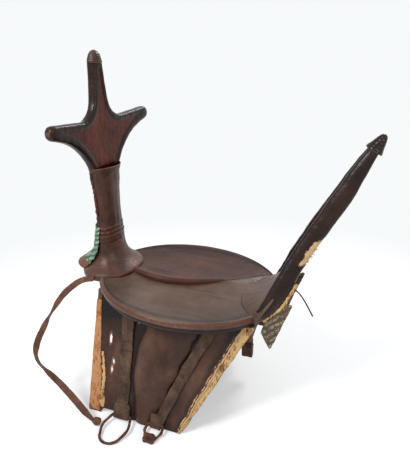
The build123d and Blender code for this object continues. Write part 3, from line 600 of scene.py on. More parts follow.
def mapped(
    name: str,
    columns: int,
    rows: int,
    place: Callable[[float, float], Vector],
    closed: bool = False,
    capped: bool = False,
    marks: dict[str, Callable[[float, float], float]] | None = None,
    cut: Callable[[float, float], bool] | None = None,
) -> bpy.types.Object:
    """Bend a flat grid into a shape.

    Args:
        name: The new object's name.
        columns: Faces across.
        rows: Faces along.
        place: Gives the place in metres for shares of the way across and along.
        closed: Weld the first column to the last one.
        capped: Fill the open ends.
        marks: Give the values of the attributes for wear and painted highlight, for painted shade and grime, and for
            tearing.
        cut: Says which places are torn out.

    Returns:
        The new object, with its shares as UV coordinates.
    """
    mesh = bmesh.new()
    bmesh.ops.create_grid(mesh, x_segments=columns, y_segments=rows, size=0.5)
    uv = mesh.loops.layers.uv.new("UVMap")
    layers = {key: mesh.verts.layers.float.new(key) for key in (marks or {})}
    shares = {vert: (vert.co.x + 0.5, vert.co.y + 0.5) for vert in mesh.verts}
    for face in mesh.faces:
        for loop in face.loops:
            loop[uv].uv = shares[loop.vert]
    for vert, (across, along) in shares.items():
        vert.co = place(across, along)
        for key, layer in layers.items():
            vert[layer] = max(0.0, min(1.0, marks[key](across, along)))
    if cut:
        lost = [vert for vert, (across, along) in shares.items() if cut(across, along)]
        bmesh.ops.delete(mesh, geom=lost, context="VERTS")
    if closed:
        bmesh.ops.remove_doubles(mesh, verts=mesh.verts, dist=0.01 * MM)
    if capped:
        rims = [edge for edge in mesh.edges if edge.is_boundary]
        bmesh.ops.holes_fill(mesh, edges=rims, sides=0)
    bmesh.ops.recalc_face_normals(mesh, faces=mesh.faces)
    return link(name, mesh)


def thicken(piece: bpy.types.Object, thickness: float, offset: float = -1.0) -> None:
    """Give a sheet its wall.

    Args:
        piece: The sheet.
        thickness: Wall in millimetres.
        offset: -1 grows against the normals, 1 along them.
    """
    wall = piece.modifiers.new("wall", "SOLIDIFY")
    wall.thickness = thickness * MM
    wall.offset = offset


def profile(stops: Sequence[tuple[float, float]], share: float) -> float:
    """Read a smooth curve through stops.

    Args:
        stops: Pairs of share and value, in order.
        share: Where to read it.

    Returns:
        The value there.
    """
    for (low, first), (high, last) in zip(stops, stops[1:]):
        if share <= high:
            part = max(0.0, (share - low) / (high - low))
            return first + (last - first) * part * part * (3 - 2 * part)
    return stops[-1][1]


class Route:
    """A smooth line through points in metres."""

    def __init__(self, points: Sequence[Sequence[float]]) -> None:
        """Keep the points.

        Args:
            points: Points in metres that the line passes.
        """
        self.points = [Vector(point) for point in points]

    def at(self, share: float) -> Vector:
        """Return the place at a share of the way along."""
        last = len(self.points) - 1
        along = min(max(share, 0.0), 1.0) * last
        span = min(int(along), last - 1)
        part = along - span
        before, start, end, after = (
            self.points[min(max(span + step, 0), last)] for step in (-1, 0, 1, 2)
        )
        square, cube = part * part, part ** 3
        return 0.5 * (
            2 * start + (end - before) * part + (2 * before - 5 * start + 4 * end - after) * square
            + (3 * start - before - 3 * end + after) * cube
        )

    def along(self, share: float) -> Vector:
        """Return the unit direction at a share of the way along."""
        step = 0.002
        return (self.at(min(share + step, 1.0)) - self.at(max(share - step, 0.0))).normalized()


def band(
    name: str,
    route: Route,
    half_width: Callable[[float], float],
    half_thickness: float,
    facing: Callable[[float], Vector],
    rows: int,
    ragged: float = 0.0,
    bumps: float = 0.3,
    seed: float = 0.0,
    square: float = 0.45,
    columns: int = 20,
) -> bpy.types.Object:
    """Sweep a flat, round-edged section along a route.

    Args:
        name: The new object's name.
        route: The middle line.
        half_width: Half the width in millimetres at a share of the way.
        half_thickness: Half the thickness in millimetres.
        facing: Direction that the flat side faces at a share of the way.
        rows: Faces along.
        ragged: How far the edges wander in millimetres.
        bumps: Unevenness of the faces in millimetres.
        seed: Moves the noise.
        square: 1 for an oval section, smaller for a squarer one.
        columns: Faces round the section.

    Returns:
        The new object.
    """

    def place(across: float, along: float) -> Vector:
        """Place the section's point at a share of the way round it and along the route."""
        middle = route.at(along)
        tangent = route.along(along)
        out = facing(along)
        out = (out - tangent * out.dot(tangent)).normalized()
        side = tangent.cross(out)
        angle = 2 * math.pi * across
        wide = math.copysign(abs(math.cos(angle)) ** square, math.cos(angle))
        high = math.copysign(abs(math.sin(angle)) ** square, math.sin(angle))
        edge_sign = 1.0 if wide > 0 else -1.0
        width = half_width(along) + ragged * abs(wide) * rough_noise(middle, 9.0, seed + edge_sign * 3)
        spot = middle + side * (wide * width * MM) + out * (high * half_thickness * MM)
        return spot + out * (bumps * MM * rough_noise(spot, 11.0, seed))

    return mapped(
        name, columns, rows, place, closed=True, capped=True,
        marks={"wear": lambda across, along: 0.75 * abs(math.cos(2 * math.pi * across)) ** 6},
    )


def fibres(
    name: str, roots: Sequence[Vector], ways: Sequence[Vector], length: float, radius: float, seed: float
) -> bpy.types.Object:
    """Grow short tapering fibres of raw hide out of an edge.

    Args:
        name: The new object's name.
        roots: Where they start, in metres.
        ways: The direction of each.
        length: Their usual length in millimetres.
        radius: Their radius in millimetres.
        seed: Moves the noise.

    Returns:
        The new object.
    """
    mesh = bmesh.new()
    for index, (root, way) in enumerate(zip(roots, ways)):
        lean = Vector((
            rough_noise(root, 3.0, seed + 1), rough_noise(root, 3.0, seed + 2), rough_noise(root, 3.0, seed + 3)
        ))
        aim = (way.normalized() + 0.8 * lean).normalized()
        reach = length * MM * (0.55 + 0.7 * abs(rough_noise(root, 2.0, seed + index)))
        turn = aim.to_track_quat("Z", "Y").to_matrix().to_4x4()
        bmesh.ops.create_cone(
            mesh, cap_ends=True, segments=5, radius1=radius * MM, radius2=radius * 0.2 * MM, depth=reach,
            matrix=Matrix.Translation(root + aim * reach * 0.45) @ turn,
        )
    return link(name, mesh)


def seat_point(x: float, y: float, lift: float = 0.0) -> Vector:
    """Place in metres of a point of the tilted seat plane.

    Args:
        x: Behind the seat's middle, in millimetres.
        y: Right of the seat's middle, in millimetres.
        lift: Above the plane, in millimetres.

    Returns:
        The place in metres.
    """
    level = Vector((
        SEAT_X + x * math.cos(SEAT_TILT) + lift * math.sin(SEAT_TILT), y,
        SEAT_HEIGHT - x * math.sin(SEAT_TILT) + lift * math.cos(SEAT_TILT),
    ))
    return level * MM


@dataclass
class Studio:
    """Floor, lamps and the photograph's camera. Lengths are in millimetres."""

    azimuth: float = math.radians(20.0)
    elevation: float = math.radians(21.69)
    distance: float = 1024.8
    target: tuple[float, float, float] = (34.8 + SEAT_X, 0.0, 392.2)
    focal_pixels: float = 488.24
    sensor: float = 36.0
    frame_height: float = 463.0
    paper_white: tuple[float, float, float, float] = (0.93, 0.95, 0.96, 1.0)
    fade_start: float = 0.45
    fade_end: float = 1.25
    lamps_at: tuple = (
        ("key_lamp", (-0.9, -1.5, 1.9), 34.0, 0.6),
        ("fill_lamp", (1.7, -1.2, 1.5), 14.0, 0.8),
        ("back_lamp", (0.3, 1.6, 1.9), 20.0, 0.7),
    )

    def eye(self) -> Vector:
        """Return the photograph's viewpoint in metres."""
        level = math.cos(self.elevation)
        away = Vector((
            math.sin(self.azimuth) * level, -math.cos(self.azimuth) * level, math.sin(self.elevation)
        ))
        return (Vector(self.target) + away * self.distance) * MM

    def camera(self) -> None:
        """Put the camera where the photograph was taken from."""
        data = bpy.data.cameras.new("photo_camera")
        data.sensor_fit = "VERTICAL"
        data.sensor_height = self.sensor
        data.lens = self.focal_pixels * self.sensor / self.frame_height
        data.clip_end = 50.0
        camera = bpy.data.objects.new("photo_camera", data)
        camera.location = self.eye()
        aim = Vector(self.target) * MM - self.eye()
        camera.rotation_euler = aim.to_track_quat("-Z", "Y").to_euler()
        bpy.context.scene.collection.objects.link(camera)
        bpy.context.scene.camera = camera

    def seen(self, tree: bpy.types.NodeTree) -> bpy.types.NodeSocket:
        """Return a socket that is 1 for camera, glossy and transmission rays.

        Args:
            tree: The node tree that reads it.

        Returns:
            The socket.
        """
        path = add_node(tree, "ShaderNodeLightPath")
        plain = add_node(
            tree, "ShaderNodeMath", {"operation": "MAXIMUM"},
            {0: path.outputs["Is Camera Ray"], 1: path.outputs["Is Glossy Ray"]},
        ).outputs["Value"]
        return add_node(
            tree, "ShaderNodeMath", {"operation": "MAXIMUM"},
            {0: plain, 1: path.outputs["Is Transmission Ray"]},
        ).outputs["Value"]

    def backdrop(self) -> None:
        """Lay a pale floor that fades into the white of the room."""
        mesh = bmesh.new()
        bmesh.ops.create_grid(mesh, x_segments=60, y_segments=60, size=6.0)
        floor = link("floor", mesh)
        material = bpy.data.materials.new("paper_floor")
        material.use_nodes = True
        tree = material.node_tree
        tree.nodes.clear()
        place = add_node(tree, "ShaderNodeTexCoord").outputs["Object"]
        away = add_node(tree, "ShaderNodeVectorMath", {"operation": "LENGTH"}, {0: place}).outputs["Value"]
        fade = add_node(
            tree, "ShaderNodeMapRange",
            {"interpolation_type": "SMOOTHSTEP", "From Min": self.fade_start, "From Max": self.fade_end},
            {"Value": away},
        ).outputs["Result"]
        matt = add_node(tree, "ShaderNodeBsdfDiffuse", {"Color": (0.80, 0.80, 0.80, 1.0)})
        glow = add_node(tree, "ShaderNodeEmission", {"Color": self.paper_white, "Strength": 0.36})
        lit = add_node(tree, "ShaderNodeAddShader", links={0: matt.outputs[0], 1: glow.outputs[0]})
        white = add_node(tree, "ShaderNodeEmission", {"Color": self.paper_white, "Strength": 1.0})
        faded = add_node(
            tree, "ShaderNodeMixShader", links={0: fade, 1: lit.outputs[0], 2: white.outputs[0]}
        )
        mixed = add_node(
            tree, "ShaderNodeMixShader", links={0: self.seen(tree), 1: matt.outputs[0], 2: faded.outputs[0]}
        )
        add_node(tree, "ShaderNodeOutputMaterial", links={"Surface": mixed.outputs[0]})
        floor.data.materials.append(material)

    def lamps(self) -> None:
        """Hang soft lamps and light the room evenly."""
        for name, place, power, size in self.lamps_at:
            data = bpy.data.lights.new(name, "AREA")
            data.energy = power
            data.size = size
            lamp = bpy.data.objects.new(name, data)
            lamp.location = place
            lamp.rotation_euler = (Vector((0, 0, 0.3)) - Vector(place)).to_track_quat("-Z", "Y").to_euler()
            bpy.context.scene.collection.objects.link(lamp)
        world = bpy.data.worlds.new("studio")
        bpy.context.scene.world = world
        world.use_nodes = True
        tree = world.node_tree
        tree.nodes.clear()
        dim = add_node(tree, "ShaderNodeBackground", {"Color": (0.95, 0.97, 1.0, 1.0), "Strength": 0.42})
        white = add_node(tree, "ShaderNodeBackground", {"Color": self.paper_white, "Strength": 1.0})
        mixed = add_node(
            tree, "ShaderNodeMixShader", links={0: self.seen(tree), 1: dim.outputs[0], 2: white.outputs[0]}
        )
        add_node(tree, "ShaderNodeOutputWorld", links={"Surface": mixed.outputs[0]})


@dataclass
class Saddle:
    """What every sub-assembly of the saddle needs."""

    nodes: dict
    finishes: Finishes

    def seat_piece(
        self, piece: bpy.types.Object, finish: Finish, body: str, slot: str, replaced: Sequence[str] = ()
    ) -> bpy.types.Object:
        """Dress a new piece, hang it on its body's empty, and hide the nodes that it stands for.

        Args:
            piece: The new piece.
            finish: Its finish.
            body: The body that it rides on.
            slot: Not used.
            replaced: The nodes that it stands for.

        Returns:
            The piece.
        """
        self.finishes.dress(piece, finish)
        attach(piece, body)
        if replaced:
            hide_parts(*replaced)
        log.info("%s made, %d faces", piece.name, len(getattr(piece.data, "polygons", ())))
        return piece

    def dress_nodes(self, names: Sequence[str], finish: Finish) -> None:
        """Give carried-over nodes a finish.

        Args:
            names: The nodes.
            finish: Their finish.
        """
        for name in names:
            self.finishes.dress(self.nodes[name], finish)


@dataclass
class Cords(Saddle):
    """The tie strap in front of the left leg and the thong behind the cantle, in metres."""

    eye: Vector = field(default_factory=Vector)
    tie_points: tuple = (
        (-0.2435, -0.0814, 0.281),
        (-0.2655, -0.086, 0.279),
        (-0.2905, -0.098, 0.262),
        (-0.3125, -0.112, 0.238),
        (-0.3285, -0.126, 0.208),
        (-0.3425, -0.144, 0.174),
        (-0.3535, -0.162, 0.140),
        (-0.3505, -0.176, 0.112),
        (-0.3285, -0.181, 0.093),
        (-0.2975, -0.184, 0.077),
        (-0.2625, -0.190, 0.054),
        (-0.2325, -0.196, 0.033),
        (-0.2105, -0.201, 0.017),
        (-0.1946, -0.204, 0.0095),
    )
    tie_turns: tuple = (30, 25, 20, 35, 75, 25, 10, 60, 70, 30, 10, 5, 10, 40)
    tie_length: float = 0.4265
    tie_width: float = 0.0145
    tie_half_thickness: float = 1.1
    thong_points: tuple = (
        (0.1662, -0.020, 0.305),
        (0.1825, -0.020, 0.303),
        (0.194, -0.0205, 0.295),
        (0.203, -0.020, 0.2835),
        (0.211, -0.021, 0.2715),
        (0.218, -0.0215, 0.260),
        (0.2245, -0.022, 0.249),
    )
    thong_length: float = 0.0854
    thong_width: float = 0.003

    def curve(self, name: str, points: Sequence) -> bpy.types.Object:
        """Make a smooth open curve from control points.

        Args:
            name: The curve's name.
            points: Control points in metres.

        Returns:
            The curve object.
        """
        data = bpy.data.curves.new(name, "CURVE")
        data.dimensions = "3D"
        data.resolution_u = 12
        spline = data.splines.new("NURBS")
        spline.points.add(len(points) - 1)
        for point, place in zip(spline.points, points):
            point.co = (*place, 1.0)
        spline.order_u = 3
        spline.use_endpoint_u = True
        piece = bpy.data.objects.new(name, data)
        bpy.context.scene.collection.objects.link(piece)
        return piece

    def build(self) -> None:
        """Make both cords, and the knot that ends the tie strap."""
        line = self.curve("tie_strap_line", self.tie_points)
        read = bpy.data.meshes.new_from_object(line)
        path = [vert.co.copy() for vert in read.vertices]
        bpy.data.meshes.remove(read)
        bpy.data.objects.remove(line)
        route = Route(path)
        turns = [(index / (len(self.tie_turns) - 1), turn) for index, turn in enumerate(self.tie_turns)]

        def facing(share: float) -> Vector:
            """Turn the strap's flat side about its line."""
            tangent = route.along(share)
            out = self.eye - route.at(share)
            out = (out - tangent * out.dot(tangent)).normalized()
            return Matrix.Rotation(math.radians(profile(turns, share)), 3, tangent) @ out

        def half_width(share: float) -> float:
            """Half the strap's width in millimetres, narrowing into the knot."""
            return (self.tie_width / 2 / MM) * (1.0 - 0.35 * max(0.0, share - 0.93) / 0.07)

        tie = band("tie_strap_band", route, half_width, self.tie_half_thickness, facing, 220,
                   ragged=0.5, bumps=0.35, seed=2.0)
        self.seat_piece(tie, Finish.THONG, "root", "thong_hide", ["tie_strap"])
        knot = softened("tie_strap_knot", [self.nodes["tie_knot"]], 0.9, 3, 1.6, 7.0, 5.0)
        self.seat_piece(knot, Finish.THONG, "root", "thong_hide", ["tie_knot"])
        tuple(self.tie_points[0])
        thong = self.curve("cantle_thong_curve", self.thong_points)
        thong.data.bevel_depth = self.thong_width / 2
        thong.data.bevel_resolution = 3
        thong.data.use_fill_caps = True
        self.seat_piece(thong, Finish.RIM, "root", "thong_hide", ["cantle_thong"])
        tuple(self.thong_points[0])


@dataclass
class Seat(Saddle):
    """The two leather-covered halves of the oval seat."""

    half_length: float = 200.0
    half_width: float = 179.0
    rim_radius: float = 6.5
    fold: float = 9.0
    skirt: float = 8.6
    columns: int = 170
    rows: int = 76
    roll: float = 4.2
    lip_drop: float = 8.4
    deepest: float = -11.4
    roll_share: float = 0.09
    turn_share: float = 0.78
    near_angles: tuple[float, float] = (-0.1, 3.755)
    far_angles: tuple[float, float] = (0.1, 2.528)
    seam_ends: tuple[float, float] = (-199.0, 168.0)
    seam: tuple = ((-1.08, 0.15), (-0.65, -0.10), (-0.30, -0.17), (0.0, -0.10), (0.30, 0.06), (0.60, 0.30),
                   (1.08, 0.82))

    def seam_y(self, x: float) -> float:
        """Right of the seat's middle at which the seam passes a place behind the middle."""
        route = Route([(a * self.half_length, b * self.half_width, 0.0) for a, b in self.seam])
        low, high = 0.0, 1.0
        for _ in range(18):
            middle = (low + high) / 2
            if route.at(middle).x < x:
                low = middle
            else:
                high = middle
        return route.at(low).y

    def surface(self, x: float, y: float, side: int, gap: float) -> float:
        """Height of the hide above the seat's plane, in millimetres.

        Args:
            x: Behind the seat's middle.
            y: Right of the seat's middle.
            side: -1 for the near half, 1 for the far one.
            gap: Distance from the seam.

        Returns:
            The height.
        """
        depth, half, middle = (11.0, 95.0, -74.0) if side < 0 else (5.0, 78.0, 88.0)
        long_share = max(0.0, 1 - (x / 176.0) ** 2)
        wide_share = max(0.0, 1 - ((y - middle) / half) ** 2)
        height = -depth * long_share * min(wide_share * 1.25, 1.0)
        if side > 0:
            height += 3.0 + 4.6 * math.exp(-(gap / 14.0) ** 2) * min(1.0, long_share * 2.5)
            height += 0.9 * math.exp(-(gap / 16.0) ** 2) * rough_noise(Vector((x * MM, 0, 0)), 50.0, 2.0)
        else:
            height += 2.4 * math.exp(-(gap / 12.0) ** 2) * min(1.0, long_share * 2.5)
            ridge = math.exp(-((y + 36) / 8.0) ** 2) * max(0.0, 1 - ((x - 45) / 75.0) ** 2)
            height += 3.6 * ridge + 0.8 * math.exp(-((y + 92 - x * 0.2) / 20.0) ** 2) * long_share
        return max(height, self.deepest)

    def half(self, side: int, name: str) -> bpy.types.Object:
        """Build one half's hide, from the seam over the rim to its underside.

        Args:
            side: -1 for the near half, 1 for the far one.
            name: The piece's name.

        Returns:
            The piece.
        """
        first, last = self.near_angles if side < 0 else self.far_angles
        start, stop = self.seam_ends
        seams = {}

        def edges(across: float) -> tuple[Vector, Vector, Vector]:
            """Return the seam's place, the rim's place and the rim's outward direction."""
            angle = first + (last - first) * across
            rim = Vector((-self.half_length * math.cos(angle), side * self.half_width * math.sin(angle)))
            out = Vector((
                -math.cos(angle) / self.half_length, side * math.sin(angle) / self.half_width
            )).normalized()
            key = round(across, 5)
            if key not in seams:
                x = start + (stop - start) * (1 - math.cos(math.pi * across)) / 2
                x = min(max(rim.x, start), stop) if side > 0 else x
                seams[key] = Vector((x, self.seam_y(x)))
            return seams[key], rim, out

        def place(across: float, along: float) -> Vector:
            """Place a point of the hide for shares of the way along and across the half."""
            seam, rim, out = edges(across)
            lift = 3.0 if side > 0 else 0.0
            inset = rim - out * self.rim_radius
            if along <= self.roll_share:
                top = self.surface(seam.x, seam.y, side, 0.0)
                around = math.pi * (1 - along / self.roll_share)
                radius = self.roll if side > 0 else 1.6
                drop = self.lip_drop if side > 0 else 1.6
                ease = min(1.0, across * 30, (1 - across) * 30)
                spot = seam + Vector((0, side * radius * (0.6 - math.sin(around) * 1.35) * ease))
                height = top - drop * (1 - math.cos(around)) * ease
            elif along <= self.turn_share:
                share = (along - self.roll_share) / (self.turn_share - self.roll_share)
                spot = seam + Vector((0, side * (self.roll if side > 0 else 1.6) * 0.6)) * (1 - share)
                spot = spot + (inset - seam) * share
                height = self.surface(spot.x, spot.y, side, (spot - seam).length * (1 if share < 0.5 else 3))
                height += 0.8 * max(0.0, 1 - abs(share - 0.955) * 14)
            else:
                bend = (along - self.turn_share) / (1 - self.turn_share)
                if bend < 0.7:
                    around = math.pi / 2 - math.pi * bend / 0.7
                    spot = inset + out * self.rim_radius * math.cos(around)
                    height = lift + self.rim_radius * (math.sin(around) - 1) + 0.4
                elif bend < 0.85:
                    share = (bend - 0.7) / 0.15
                    spot = inset + out * 2.0 * share
                    height = lift - 2 * self.rim_radius + 0.4 - self.skirt * share
                else:
                    spot = inset + out * 2.0 - out * (bend - 0.85) / 0.15 * self.fold
                    height = lift - 2 * self.rim_radius + 0.4 - self.skirt
            spot3 = seat_point(spot.x, spot.y, height)
            return spot3 + Vector((0, 0, 0.35 * MM * rough_noise(spot3, 45.0, side * 2.0)))

        def worn_and_lit(across: float, along: float) -> float:
            """Say how much the worn colour shows: real wear on the rim, and a painted highlight on the far half's lip,
            where its edge catches the light.
            """
            edge = max(0.0, 1 - abs(along - 0.832) * 18)
            # Painted highlight along the far half's lip.
            lip = max(0.0, 1 - abs(along - 0.06) * 14) if side > 0 else 0.0
            return 1.05 * edge + 0.55 * lip

        def seat_shade(across: float, along: float) -> float:
            """Say how much painted shade darkens the hide: inside the rim, in the seam's crease, towards the rim and
            under the seat.
            """
            inner = max(0.0, 1 - abs(along - 0.735) * 18)
            crease = max(0.0, 1 - abs(along - (0.05 if side < 0 else 0.0)) * (13 if side < 0 else 30))
            wide = 0.45 * max(0.0, (along - 0.42) / 0.36) if along < 0.78 else 0.0
            under = 0.95 * max(0.0, min(1.0, (along - 0.86) / 0.03))
            return 0.45 * inner + 0.9 * crease + wide + under

        return mapped(name, self.columns, self.rows, place, marks={"wear": worn_and_lit, "grime_and_shade": seat_shade})

    def build(self) -> None:
        """Make both hides and dress the boards under them."""
        # The near half takes the copy of the seat hide with painted sheen.
        for side, side_name, finish in ((-1, "left", Finish.SEAT_NEAR_SHEEN), (1, "right", Finish.SEAT)):
            hide = self.half(side, f"seat_hide_{side_name}")
            thicken(hide, 1.8)
            self.seat_piece(hide, finish, "root", "seat_hide", [f"seat_cover_{side_name}"])
        self.dress_nodes(("seat_board_left", "seat_board_right"), Finish.WOOD)


@dataclass
class Pommel(Saddle):
    """The cross, its neck and its bell-shaped foot, in millimetres from the pommel's foot."""

    setback: float = 190.0
    lean: float = math.radians(1.4)
    foot_height: float = 284.6
    sleeve: tuple = ((65.0, 24.0, 42.0), (94.0, 22.0, 38.0), (130.0, 21.5, 36.0), (171.0, 22.2, 37.0),
                     (205.0, 25.2, 41.0), (228.0, 27.0, 44.0))
    seam_share: float = 0.69
    wrap_start: float = 78.0
    wrap_pitch: float = 9.5
    hood_shape: tuple = ((0.0, 1.0), (0.10, 1.0), (0.25, 0.92), (0.45, 0.84), (0.65, 0.74), (0.82, 0.56),
                         (0.94, 0.34), (1.0, 0.0))
    tip_shape: tuple = ((0.0, 0.86), (0.35, 0.86), (0.65, 0.80), (0.85, 0.62), (0.95, 0.40), (1.0, 0.0))
    tip_reach: float = 0.55
    slim_start: float = 335.0
    slim_run: float = 70.0
    slim_share: float = 0.30
    near_arm: float = 40.0
    near_pull: float = 0.13
    bib_rows: tuple = ((2.0, 86.0, 62.0, 58.0), (8.0, 76.0, 60.0, 60.0), (16.0, 64.0, 57.0, 62.0),
                       (30.0, 47.0, 50.0, 66.0), (48.0, 36.5, 45.0, 72.0), (70.0, 32.0, 42.5, 78.0),
                       (100.0, 26.5, 39.5, 84.0))

    def point(self, x: float, y: float, height: float) -> Vector:
        """Place in metres of a point measured from the pommel's foot along its lean."""
        base = SEAT_X - self.setback
        return Vector((
            base + x * math.cos(self.lean) - height * math.sin(self.lean), y,
            self.foot_height + x * math.sin(self.lean) + height * math.cos(self.lean),
        )) * MM

    def section(self, height: float) -> tuple[float, float]:
        """Half depth and half width of the sleeve at a height."""
        deep = profile([(level, depth) for level, depth, _ in self.sleeve], height)
        return deep, profile([(level, width) for level, _, width in self.sleeve], height)

    def build_sleeve(self) -> None:
        """Wrap the neck in a sewn sleeve with a turned cuff and rolled wraps."""

        def around(across: float, height: float, push: float) -> Vector:
            """Place a point round the neck at a height, pushed out of the sleeve."""
            deep, wide = self.section(height)
            angle = 2 * math.pi * across
            return self.point((deep + push) * math.cos(angle), (wide + push) * math.sin(angle), height)

        def tube(across: float, along: float) -> Vector:
            """Place a point of the wrinkled sleeve."""
            height = 63.0 + 165.0 * along
            folds = 0.9 * noise.noise(Vector((math.cos(across * 6.283) * 4, math.sin(across * 6.283) * 4, height * 0.02)))
            seam = 1.4 * math.exp(-((across - self.seam_share) / 0.012) ** 2)
            return around(across, height, (folds + seam) if 0.02 < along < 0.99 else 0.0)

        sleeve = mapped(
            "neck_sleeve", 120, 80, tube, closed=True,
            marks={
                # Painted shade beside the raised seam.
                "grime_and_shade": lambda across, along: 0.8 * math.exp(-((across - self.seam_share + 0.03) / 0.02) ** 2),
                "wear": lambda across, along: 0.7 * math.exp(-((across - self.seam_share) / 0.012) ** 2),
            },
        )
        thicken(sleeve, 2.0)
        self.seat_piece(sleeve, Finish.SLEEVE, "root", "red_hide", ["pommel_sleeve"])
        line = [around(self.seam_share, 100.0 + 122.0 * step / 11, 2.2) for step in range(12)]
        out = line[5] - self.point(0, 0, 155.0)
        fray = band("sleeve_seam_fray", Route(line), lambda share: 2.2, 1.1, lambda share: out, 130,
                    ragged=2.2, bumps=0.8, seed=3.0)
        self.seat_piece(fray, Finish.WORN, "root", "rawhide")

        def cuff(across: float, along: float) -> Vector:
            """Place a point of the turned cuff."""
            angle = 2 * math.pi * across
            height = 221.5 + 9.5 * along + 2.0 * noise.noise(Vector((math.cos(angle), math.sin(angle), 5.0)))
            deep, wide = self.section(225.0)
            flare = 0.9 + 1.6 * along ** 2 + 0.9 * noise.noise(Vector((math.cos(angle) * 2, math.sin(angle) * 2, along)))
            return self.point((deep + flare) * math.cos(angle), (wide + flare) * math.sin(angle), height)

        collar = mapped("neck_cuff", 120, 12, cuff, closed=True, marks={
            "wear": lambda across, along: along * 6 - 4.8,
            # Painted shade where the cuff meets the sleeve.
            "grime_and_shade": lambda across, along: 0.9 - along * 6,
        })
        thicken(collar, 1.8)
        self.seat_piece(collar, Finish.SLEEVE, "root", "worn_hide", ["sleeve_cuff"])

        def roll(turn: int) -> Callable[[float, float], Vector]:
            """Return the placing of one rolled wrap."""
            def place(across: float, along: float) -> Vector:
                """Place a point of the wrap's section round the neck."""
                angle = 2 * math.pi * along
                bend = 2 * math.pi * across
                spot = Vector((math.cos(angle), math.sin(angle), turn * 4.0))
                height = self.wrap_start + turn * self.wrap_pitch + 1.5 * noise.noise(spot)
                deep, wide = self.section(height)
                thick = 3.6 + 0.8 * noise.noise(spot * 2)
                push = 0.5 + 0.8 * noise.noise(spot * 3) + 1.1 * math.cos(bend)
                return self.point(
                    (deep + push) * math.cos(angle), (wide + push) * math.sin(angle), height + thick * math.sin(bend)
                )
            return place

        wraps = [
            mapped(f"neck_wrap_{turn + 1}", 14, 110, roll(turn), closed=True,
                   marks={"wear": lambda across, along: 0.6 * math.cos(2 * math.pi * across)})
            for turn in range(3)
        ]
        for wrap in wraps:
            self.seat_piece(wrap, Finish.SLEEVE, "root", "dark_hide")
        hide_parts("neck_wraps")

    def hood(self, name: str, node: str, shape: Sequence, axis: int, sign: int, reach: float, seed: float) -> bpy.types.Object:
        """Stretch a soft leather hood over the end of a prong or an arm.

        Args:
            name: The new piece's name.
            node: The node whose box it fills.
            shape: Shares of the reach and of the girth, from the open end to the tip.
            axis: The axis along which it points.
            sign: 1 or -1, the way in which it points.
            reach: Share of the box's half at which its tip ends.
            seed: Moves the noise.

        Returns:
            The piece.
        """
        low, high = (Vector(corner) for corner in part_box(node))
        middle, half = (low + high) / 2, (high - low) / 2
        others = [index for index in range(3) if index != axis]

        def place(across: float, along: float) -> Vector:
            """Place a point of the hood round its axis and towards its tip."""
            angle = 2 * math.pi * across
            bumps = noise.noise(Vector((math.cos(angle) * 1.6, math.sin(angle) * 1.6, along * 1.5 + seed)))
            girth = profile(shape, along) * (1 + 0.07 * bumps)
            spot = middle.copy()
            spot[axis] += sign * half[axis] * (-1 + (1 + reach) * along) + sign * 2.4 * MM * (1 - along) ** 6 * bumps
            spot[others[0]] += half[others[0]] * girth * math.copysign(abs(math.cos(angle)) ** 0.8, math.cos(angle))
            spot[others[1]] += half[others[1]] * girth * math.copysign(abs(math.sin(angle)) ** 0.8, math.sin(angle))
            return spot

        piece = mapped(name, 64, 44, place, closed=True, marks={
            "wear": lambda across, along: 0.9 - along * 8 if along < 0.5 else (along - 0.72) * 3.4,
            # A darker ring a third of the way to the tip.
            "grime_and_shade": lambda across, along: 0.8 * math.exp(-((along - 0.3) / 0.1) ** 2),
        })
        thicken(piece, 1.6)
        return piece

    def slim(self, piece: bpy.types.Object) -> bpy.types.Object:
        """Draw a piece of the cross in towards the middle, the more the higher it is.

        Args:
            piece: The piece.

        Returns:
            The same piece.
        """
        for vert in piece.data.vertices:
            share = (vert.co.z / MM - self.foot_height - self.slim_start) / self.slim_run
            vert.co.y *= 1 - self.slim_share * max(0.0, min(1.0, share))
            vert.co.y += self.near_pull * max(0.0, -vert.co.y - self.near_arm * MM)
        return piece

    def build_cross(self) -> None:
        """Make the rolled rims, the wrinkled panels and the tips of the arms."""
        rims = softened(
            "cross_rims", [self.nodes["cross_cover"]], 2.0, 24, 0.5, 30.0, 1.0, wear=1.6, swell=1.3
        )
        self.seat_piece(self.slim(rims), Finish.RIM, "root", "dark_hide", ["cross_cover"])
        for index, side in enumerate(("back", "front")):
            panel = softened(
                f"cross_face_{side}", [self.nodes[f"cross_panel_{side}"]], 1.1, 2, 0.45, 9.0, 3.0 + index
            )
            self.seat_piece(self.slim(panel), Finish.PANEL, "root", "red_hide", [f"cross_panel_{side}"])
        top = self.hood("top_prong_hood", "top_prong_cap", self.hood_shape, 2, 1, 1.0, 8.0)
        self.seat_piece(self.slim(top), Finish.SLEEVE, "root", "dark_hide", ["top_prong_cap"])
        for side_name, sign, finish in (("left", -1, Finish.WORN), ("right", 1, Finish.RIM)):
            reach = self.tip_reach if sign < 0 else 1.0
            tip = self.hood(f"arm_tip_{side_name}", f"arm_cap_{side_name}", self.tip_shape, 1, sign, reach, 6.0 + sign)
            self.seat_piece(self.slim(tip), finish, "root", "worn_hide", [f"arm_cap_{side_name}"])

    def build_foot(self) -> None:
        """Make the bell-shaped foot and the painted bib in front of it."""
        foot = softened("neck_foot", [self.nodes["pommel_foot"]], 2.0, 6, 0.9, 30.0, 2.0, wear=3.0)
        self.seat_piece(foot, Finish.FOOT, "root", "seat_hide", ["pommel_foot"])

